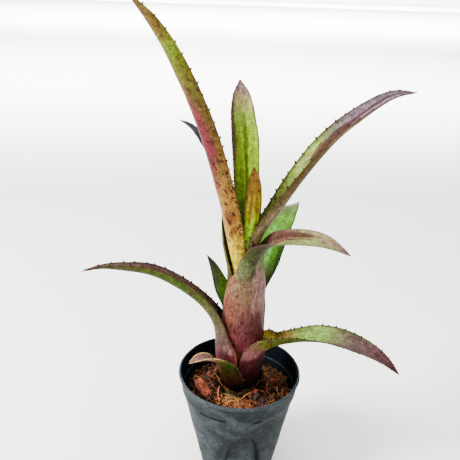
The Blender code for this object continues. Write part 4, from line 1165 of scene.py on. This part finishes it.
def add_chip(piece, chip, rng):
    """A torn husk chip as rings from end to end: ridged along its grain, with splintered ends."""
    rows, around = FINE_CHIP_MESH if chip.length > FINE_CHIP_LENGTH else CHIP_MESH
    shape = bumps(rng, 1.8, 0.35, 14)
    ridges = [1 + rng.uniform(-0.22, 0.16) for _ in range(around)]
    splinters = [[rng.uniform(0.72, 1.12) for _ in range(around)] for _ in range(2)]
    lean = rng.uniform(-0.35, 0.35)
    points = []
    for i in range(rows):
        t = -1 + 2 * i / (rows - 1)
        end = 0.25 + 0.75 * (1 - abs(t) ** 6) ** 0.6
        for j, a in enumerate(turns(around)):
            c, s = cos(a), sin(a)
            box = (abs(c) ** 5 + abs(s) ** 5) ** -0.2
            rough = ridges[j] * (1 + 0.22 * shape(t * 1.4, a * 0.9))
            x = t * splinters[i * 2 // rows][j] * chip.length / 2
            y = c * box * rough * end * chip.width / 2 + lean * t * chip.width
            z = s * box * rough * end * chip.height / 2 + 0.12 * chip.height * shape(t, 0.5)
            points.append((x, y, z))
    # The pattern runs with the chip's own grain and starts elsewhere on each chip.
    grain = np.array(points) * (GRAIN_STRETCH, 1, 1) + (chip.x * 9, chip.y * 9, 0)
    turn = Matrix.Rotation(radians(chip.turn), 3, "Z") @ Matrix.Rotation(radians(chip.tilt), 3, "Y")
    ground = mix_height(sqrt(chip.x ** 2 + chip.y ** 2)) - MIX_SETTLED
    points = np.array(points) @ np.array(turn).T + (chip.x, chip.y, ground + chip.up)
    piece.add(points, capped_tube(rows, around), 0, grain, (chip.tone, rng.random(), 0))


def make_chips(material):
    rng = random.Random(CHIPS_SEED)
    chips = list(LARGE_CHIPS)
    for _ in range(LOOSE_CHIPS):
        r = sqrt(rng.uniform(CHIPS_FROM ** 2, CHIPS_TO ** 2))
        a = rng.uniform(0, 2 * pi)
        size = rng.choice(CHIP_SIZES)
        r = min(r, MIX_WALL - 1 - size / 2)
        chips.append(Chip(r * cos(a), r * sin(a), rng.uniform(-0.2, 1.6), size * rng.uniform(1.4, 2.8),
                          size * rng.uniform(0.5, 1.0), size * rng.uniform(0.35, 0.7), rng.uniform(0, 360),
                          rng.uniform(-40, 40), 0.05 + 0.85 * rng.uniform(0, 1) ** 1.7))
    piece = Piece()
    for chip in chips:
        add_chip(piece, chip, rng)
    # Crumbs heaped in front of the plant
    for _ in range(CRUMBS):
        x, y = rng.gauss(1, 7), rng.gauss(-28, 4.5)
        if CRUMBS_FROM < sqrt(x * x + y * y) < CRUMBS_TO:
            size = rng.uniform(0.6, 1.3)
            add_chip(piece, Chip(x, y, rng.uniform(0.6, 2.2), size * rng.uniform(1.2, 2.6), size, size * 0.7,
                                 rng.uniform(0, 360), rng.uniform(-50, 50), rng.uniform(0.6, 1.0)), rng)
    piece.build("mix_chips", [material], "growing_mix")


# Fibres: how many lie loose all round, as pale coir in front, and as frayed threads of the dried sheath
FIBRE_SIDES = 5
LOOSE_FIBRES = 620
FIBRES_FROM = 20.0
FIBRES_TO = 41.5
PALE_COIR = 170
PALE_COIR_TO = 40.0
FRAYED_THREADS = 26

# Strands, given one by one: ends on the mix as x, y and height above it, thickness and tone
STRANDS = [
    ((20.5, 15.5, 3.2), (26, 11, 1.0), 1.0, 0.95), ((19.5, 12.5, 2.0), (27, 5, 0.6), 0.8, 0.7),
    ((31.6, -1.5, 4.6), (33.2, -8.6, 0.6), 1.0, 0.95), ((30, 2, 2.0), (29, -6, 0.4), 0.7, 0.6),
    ((-16.3, -8.5, 4.6), (-15.6, -21, 0.8), 1.0, 0.85), ((-24, -3, 3.6), (-17, -13, 0.5), 0.8, 0.4),
    ((-39.5, 6, 3.0), (-33, 5.4, 5.0), 0.9, 1.0), ((-39, 3.5, 0.6), (-36, 8, 5.2), 0.8, 0.9),
    ((2.5, -21, 1.5), (12.5, -12, 3.6), 0.9, 0.95), ((-9, -19, 1.2), (4.0, -24, 0.6), 0.8, 0.98),
    ((-12, -15, 2.0), (0.5, -23.5, 0.6), 0.7, 1.0), ((35, -9, 0.6), (37.5, -1, 3.0), 0.8, 0.75),
    ((21, -18, 0.5), (29, -19, 3.0), 0.9, 0.7), ((24, 20, 0.8), (35, 12, 3.5), 0.7, 0.6),
]


# How far a fibre tapers, how high it lies on the mix, the innermost place where it follows the mix's height,
# and the steps of its path
FIBRE_TAPER = 0.75
FIBRE_LIFT = 0.35
FIBRE_INNERMOST = 16.0
STRAND_STEPS = 9
# How much higher than other fibres the frayed threads lie
FRAYED_LIFT = 1.2


def add_fibre(piece, path, thickness, tone, rng):
    """A thin round strand along a path of points, tapered at both ends."""
    path = np.asarray(path, float)
    step = np.gradient(path, axis=0)
    side = unit(np.cross(step, (0.1, 0.2, 1.0)) + 1e-9)
    up = unit(np.cross(side, step) + 1e-9)
    points = []
    for i, t in enumerate(np.linspace(-1, 1, len(path))):
        r = thickness / 2 * (1 - FIBRE_TAPER * abs(t) ** 3)
        points += loop(path[i], side[i] * r, up[i] * r, FIBRE_SIDES)
    piece.add(points, capped_tube(len(path), FIBRE_SIDES), place=(tone, rng.random(), 0))


def lying_path(x, y, turn, length, arch, bend, steps=STRAND_STEPS, lift=FIBRE_LIFT):
    """A path that lies on the mix, humped up by arch and curved by bend."""
    path = []
    for t in np.linspace(0, 1, steps):
        a = turn + bend * (t - 0.5)
        px = x + length * (t - 0.5) * cos(a)
        py = y + length * (t - 0.5) * sin(a)
        r = np.clip(sqrt(px * px + py * py), FIBRE_INNERMOST, MIX_WALL)
        path.append((px, py, mix_height(r) + lift + arch * 4 * t * (1 - t)))
    return path


def strand_path(first, second, sway):
    """A slightly swaying path between two ends that are given as x, y and height above the mix."""
    path = []
    for t in np.linspace(0, 1, STRAND_STEPS):
        x, y, up = (a + (b - a) * t for a, b in zip(first, second))
        x += 0.5 * sin(5 * t + sway * 9)
        y += 0.5 * sin(4 * t + sway * 5)
        path.append((x, y, mix_height(sqrt(x * x + y * y)) + up + 0.8 * sin(pi * t) - 0.6))
    return path


def make_fibres(material):
    rng = random.Random(FIBRES_SEED)
    piece = Piece()
    for first, second, thickness, tone in STRANDS:
        add_fibre(piece, strand_path(first, second, tone), thickness, tone, rng)
    for _ in range(LOOSE_FIBRES):
        r = sqrt(rng.uniform(FIBRES_FROM ** 2, FIBRES_TO ** 2))
        a = rng.uniform(0, 2 * pi)
        length = rng.uniform(4, 13)
        path = lying_path(r * cos(a), r * sin(a), rng.uniform(0, 2 * pi), length, rng.uniform(0, 2.2),
                          rng.uniform(-1.4, 1.4))
        if max(sqrt(p[0] ** 2 + p[1] ** 2) for p in path) < MIX_WALL - 0.6:
            add_fibre(piece, path, rng.uniform(0.2, 0.5), 0.1 + 0.8 * rng.random() ** 1.5, rng)
    for _ in range(PALE_COIR):
        x, y = rng.gauss(1, 7.5), rng.gauss(-27, 4.6)
        if FIBRES_FROM < sqrt(x * x + y * y) < PALE_COIR_TO:
            path = lying_path(x, y, rng.uniform(0, 2 * pi), rng.uniform(1.6, 6), rng.uniform(0, 1.6),
                              rng.uniform(-1.8, 1.8), 7)
            path = [(px, py, pz + 0.8 * rng.random()) for px, py, pz in path]
            add_fibre(piece, path, rng.uniform(0.3, 0.6), rng.uniform(0.66, 0.92), rng)
    for _ in range(FRAYED_THREADS):
        a = rng.uniform(-2.2, -1.55)
        r = rng.uniform(23, 29)
        path = lying_path(r * cos(a), r * sin(a), a + rng.uniform(-1.6, 1.6), rng.uniform(3, 9),
                          rng.uniform(0.6, 3.2), rng.uniform(-2.4, 2.4), 10, FIBRE_LIFT + FRAYED_LIFT)
        add_fibre(piece, path, rng.uniform(0.3, 0.5), rng.uniform(0.82, 1.0), rng)
    piece.build("mix_fibres", [material], "growing_mix")


# The dried sheath: a thin torn cup round the foot of the plant, highest at its front left
DRY_TOP = 82.5
DRY_SWING = 4.5
DRY_RISE = 3.0
DRY_RISE_AT = 3.75
DRY_RISE_WIDTH = 0.3
DRY_LAYER = -1
DRY_SEGMENTS = 420
DRY_ROWS = 14
DRY_MEAN_RADIUS = 24
# How far waves and frays move its torn edge, tears and splits cut it and the whole edge is lifted, how far
# the sheath crumples and buckles, and half its thickness at the foot with what the edge loses of that
DRY_WAVES = 0.9
DRY_FRAY = 1.1
DRY_TEARS = 3.4
DRY_SPLITS = 1.6
DRY_LIFT = 0.8
DRY_CRUMPLE = 0.8
DRY_BUCKLE = 0.5
DRY_HALF_THICK = 0.33
DRY_THINNING = 0.18


def make_dry_sheath(material):
    rng = random.Random(DRY_SEED)
    fray, tears, splits = ripple(rng, 30, 9), ripple(rng, 9, 6), ripple(rng, 3.2, 4)
    crumple = bumps(rng, 14, 4)
    angles = turns(DRY_SEGMENTS)
    start = LAYER_START[DRY_LAYER]
    run = angles * DRY_MEAN_RADIUS
    top = DRY_TOP + DRY_SWING * np.cos(2 * angles - 0.3) + DRY_WAVES * np.sin(5 * angles + 1)
    top += DRY_FRAY * fray(run)
    ragged = np.abs(tears(run)) ** 0.7 * DRY_TEARS + np.abs(splits(run)) * DRY_SPLITS
    top += DRY_RISE * np.exp(-((angles - DRY_RISE_AT) / DRY_RISE_WIDTH) ** 2) - ragged + DRY_LIFT
    shares = np.linspace(0, 1, DRY_ROWS)
    rings, places = [], []
    for side, order in ((-1, shares), (1, shares[::-1])):
        for t in order:
            z = start + (top - start) * t
            bend = (DRY_CRUMPLE * crumple(run, z) + DRY_BUCKLE * tears(run + 3)) * t ** 1.5
            r = layer_radius(DRY_LAYER, z) + bend + side * (DRY_HALF_THICK - DRY_THINNING * t)
            rings.append(ring(r, z, angles))
            places.append(np.stack(np.broadcast_arrays(t, angles / (2 * pi), (side + 1) / 2), -1))
    piece = Piece()
    piece.add(np.array(rings), tube_faces(len(rings), DRY_SEGMENTS, closed_rows=True), place=places)
    piece.build("dry_sheath_fine", [material], "dry_sheath")


def dry_material():
    g = Graph("dry_papery_sheath")
    share, turn = g.parts(g.attribute("place"))[:2]
    flat = g.attribute("flat_mm")
    drift = g.math("SUBTRACT", g.noise(flat, (0.25, 0.25, 0.25)), 0.5)
    round_plant = g.ramp(g.math("ADD", turn, g.math("MULTIPLY", drift, 0.1)), shades(
        (0.0, 54, 32, 20), (0.45, 96, 60, 30), (0.55, 140, 74, 38), (0.62, 168, 98, 54),
        (0.68, 166, 144, 66), (0.75, 184, 164, 98), (0.82, 140, 118, 54), (0.88, 74, 48, 24),
        (1.0, 54, 32, 20)))
    threads = g.noise(flat, (1.5, 1.5, 0.14), 4.0, 0.65)
    colour = g.shade(round_plant, threads, 0.4, 0.6, 0.4, 1.4)
    blotch = g.noise(flat, (0.5, 0.5, 0.4), 4.0, 0.65)
    colour = g.mix(g.between(blotch, 0.5, 0.62, 0.0, 0.75), colour, tint(58, 34, 18))
    pale = g.math("MULTIPLY", g.between(share, 0.75, 1.0, 0.0, 0.6), g.between(threads, 0.45, 0.6))
    colour = g.mix(pale, colour, tint(180, 160, 96))
    colour = g.mix(g.between(share, 0.0, 0.5, 0.7, 0.0), colour, tint(44, 24, 12))
    return g.finish(colour, 0.7, g.bump(threads, 0.6, 0.4), Specular_IOR_Level=0.08)


def pot_material():
    g = Graph("dusty_black_plastic")
    flat = g.attribute("flat_mm")
    painted_shade, pale, inside = g.parts(g.attribute("place"))[:3]
    cloud = g.noise(flat, (0.05, 0.05, 0.06), 5.0, 0.62, 0.8)
    mottle = g.noise(flat, (0.2, 0.2, 0.26), 6.0, 0.68, 0.6)
    fine = g.noise(flat, (0.9, 0.9, 0.7), 4.0, 0.7)
    colour = g.ramp(cloud, [(0.36, (0.0082, 0.0106, 0.0121)), (0.5, (0.0154, 0.0192, 0.0211)),
                            (0.64, (0.0284, 0.0334, 0.036))])
    colour = g.shade(colour, mottle, 0.4, 0.6, 0.8, 1.22)
    colour = g.shade(colour, fine, 0.4, 0.6, 0.84, 1.16)
    stains = g.noise(flat, (0.1, 0.1, 0.13), 4.0, 0.6, 1.2)
    colour = g.mix(g.between(stains, 0.56, 0.63, 0.0, 0.6), colour, (0.008, 0.0105, 0.012))
    scratches = g.noise(flat, (0.14, 0.14, 0.9), 3.0, 0.6, 0.3)
    colour = g.mix(g.between(scratches, 0.62, 0.7, 0.0, 0.3), colour, (0.07, 0.08, 0.086))
    # Inside, colours darker than outside: painted shade in the pot's hollow, mottled with dust
    dust_inside = g.between(mottle, 0.56, 0.72, 0.0, 0.35)
    deep = g.mix(dust_inside, (0.0022, 0.0034, 0.005), (0.008, 0.011, 0.014))
    colour = g.mix(inside, colour, deep)
    # Painted highlight on the lip's top and the inner ledge, broken up by fine noise
    painted_highlight = g.math("MULTIPLY", pale, g.between(fine, 0.4, 0.6, 0.3, 1.0))
    colour = g.mix(painted_highlight, colour, (0.05, 0.062, 0.07))
    # Painted shade along the arches, in the gap under the collar and at the lip's foot
    colour = g.mix(painted_shade, colour, (0.001, 0.0012, 0.0014))
    rough = g.between(mottle, 0.3, 0.7, 0.4, 0.6)
    height = g.math("ADD", mottle, g.math("MULTIPLY", scratches, 0.3))
    return g.finish(colour, rough, g.bump(height, 0.35, 0.4), Specular_IOR_Level=0.02)


def mix_material(name, stops, scale, contrast):
    """Coir and husk: the piece's tone picks its colour, with grain on top of it."""
    g = Graph(name)
    tone, own = g.parts(g.attribute("place"))[:2]
    grain = g.noise(g.attribute("flat_mm"), (scale, scale, scale), 5.0, 0.65)
    colour = g.ramp(tone, stops)
    colour = g.shade(colour, grain, 0.4, 0.6, 1 - 0.75 * contrast, 1 + 0.55 * contrast)
    colour = g.shade(colour, own, 0.0, 1.0, 0.9, 1.55)
    return g.finish(colour, 0.85, g.bump(grain, 0.8, 0.5), Specular_IOR_Level=0.06)


def chip_material():
    return mix_material("husk_chips", shades(
        (0.0, 38, 28, 26), (0.1, 50, 38, 34), (0.16, 98, 82, 84), (0.24, 70, 46, 36), (0.45, 112, 74, 50),
        (0.65, 150, 96, 62), (0.82, 162, 102, 74), (1.0, 182, 108, 80)), 1.1, 0.8)


def fibre_material():
    return mix_material("coir_fibres", shades(
        (0.0, 58, 40, 30), (0.3, 102, 68, 46), (0.6, 166, 114, 74), (0.85, 200, 154, 106),
        (0.94, 208, 180, 120), (1.0, 176, 168, 88)), 0.9, 0.5)


def bed_material():
    g = Graph("mix_bed_dark")
    flat = g.attribute("flat_mm")
    coarse = g.noise(flat, (0.35, 0.35, 0.35), 6.0, 0.7)
    fine = g.noise(flat, (1.4, 1.4, 1.4), 5.0, 0.7)
    colour = g.ramp(coarse, shades(
        (0.32, 20, 12, 8), (0.5, 36, 22, 14), (0.6, 66, 38, 22), (0.72, 106, 62, 36)))
    colour = g.shade(colour, fine, 0.36, 0.66, 0.35, 1.5)
    return g.finish(colour, 0.9, g.bump(fine, 1.0, 0.8), Specular_IOR_Level=0.05)


def stem_material():
    g = Graph("stem_bark")
    place = g.node("TexCoord", {}).outputs["Object"]
    rings = g.noise(place, (200, 200, 1500))
    colour = g.ramp(rings, shades((0.35, 92, 66, 34), (0.65, 160, 128, 74)))
    return g.finish(colour, 0.7, g.bump(rings, 0.5, 0.4))


def floor_material():
    g = Graph("pale_floor")
    place = g.node("TexCoord", {}).outputs["Object"]
    soft = g.noise(place, (1.2, 1.2, 1.2), 2.0)
    # Painted shade: the floor is darker near the plant and grows paler out to 2.4 metres
    away = g.between(g.length(place), 0.9, 2.4)
    pale = g.ramp(away, [(0.0, (0.8, 0.8, 0.785)), (1.0, (0.93, 0.93, 0.92))])
    pale = g.shade(pale, soft, 0.3, 0.7, 0.98, 1.01)
    return g.finish(pale, 0.8, Specular_IOR_Level=0.1)


# The floor, in metres. Its far side turns up a little, so that the ground stays pale up to the horizon.
FLOOR_HALF = 60.0
FLOOR_RISE = 2.5
FLOOR_BELOW = 0.0004

# The studio, in metres and watts: a key light at the left, one above the plant, and lights for the ground
# far behind it, each a place, a point it faces, its size and its power
PLANT_MIDDLE = (0, 0, 0.17)
LIGHTS = {
    "key": ((-1.25, -0.35, 1.15), PLANT_MIDDLE, 0.6, 120),
    "top": ((0.2, 0.3, 1.7), PLANT_MIDDLE, 1.2, 30),
    "far_floor": ((-0.8, 2.3, 2.8), (-1.2, 7.0, 0), 4.5, 1500),
    "farther_floor": ((0.0, 10.0, 9.0), (0.0, 24.0, 0), 16.0, 22000),
    "horizon": ((4.0, 34.0, 18.0), (6.0, 60.0, 0), 40.0, 85000),
}
WORLD_COLOUR = (1.0, 1.0, 0.985, 1)
WORLD_STRENGTH = 2.0


def make_floor():
    x = y = FLOOR_HALF
    corners = [(-x, -y, 0), (x, -y, 0), (x, y, 0), (-x, y, 0), (x, y, FLOOR_RISE), (-x, y, FLOOR_RISE)]
    mesh = bpy.data.meshes.new("floor")
    mesh.from_pydata(corners, [], [(0, 1, 2, 3), (3, 2, 4, 5)])
    mesh.materials.append(floor_material())
    floor = put_in_scene("floor", mesh)
    floor.location.z = -FLOOR_BELOW


def make_lights():
    world = bpy.data.worlds.new("studio")
    world.use_nodes = True
    backdrop = world.node_tree.nodes["Background"]
    backdrop.inputs["Color"].default_value = WORLD_COLOUR
    backdrop.inputs["Strength"].default_value = WORLD_STRENGTH
    bpy.context.scene.world = world
    for name, (place, target, size, watts) in LIGHTS.items():
        data = bpy.data.lights.new(name, "AREA")
        data.size = size
        data.energy = watts
        lamp = put_in_scene(name, data)
        lamp.location = place
        lamp.rotation_euler = (Vector(target) - Vector(place)).to_track_quat("-Z", "Y").to_euler()


def make_camera():
    yaw, pitch, roll = radians(CAMERA_YAW), radians(CAMERA_PITCH), radians(CAMERA_ROLL)
    forward = Vector((sin(yaw) * cos(pitch), cos(yaw) * cos(pitch), -sin(pitch)))
    level = forward.cross(Vector((0, 0, 1))).normalized()
    upright = level.cross(forward)
    right = level * cos(roll) + upright * sin(roll)
    up = upright * cos(roll) - level * sin(roll)
    data = bpy.data.cameras.new("camera")
    data.sensor_width = SENSOR
    data.lens = FOCAL_PIXELS * SENSOR / PHOTO_SIDE
    data.clip_start = 0.01
    data.clip_end = 200
    camera = put_in_scene("camera", data)
    turn = Matrix((right, up, -forward)).transposed()
    camera.matrix_world = Matrix.Translation(Vector(CAMERA_PLACE) * MM) @ turn.to_4x4()
    bpy.context.scene.camera = camera


make_camera()
make_lights()
make_floor()
for number, leaf in enumerate(LEAVES):
    make_leaf(leaf, FIRST_LEAF_SEED + number)
make_pot(pot_material())
make_mix_bed(bed_material())
make_chips(chip_material())
make_fibres(fibre_material())
make_dry_sheath(dry_material())
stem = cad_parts["stem"]
stem.data.materials.clear()
stem.data.materials.append(stem_material())
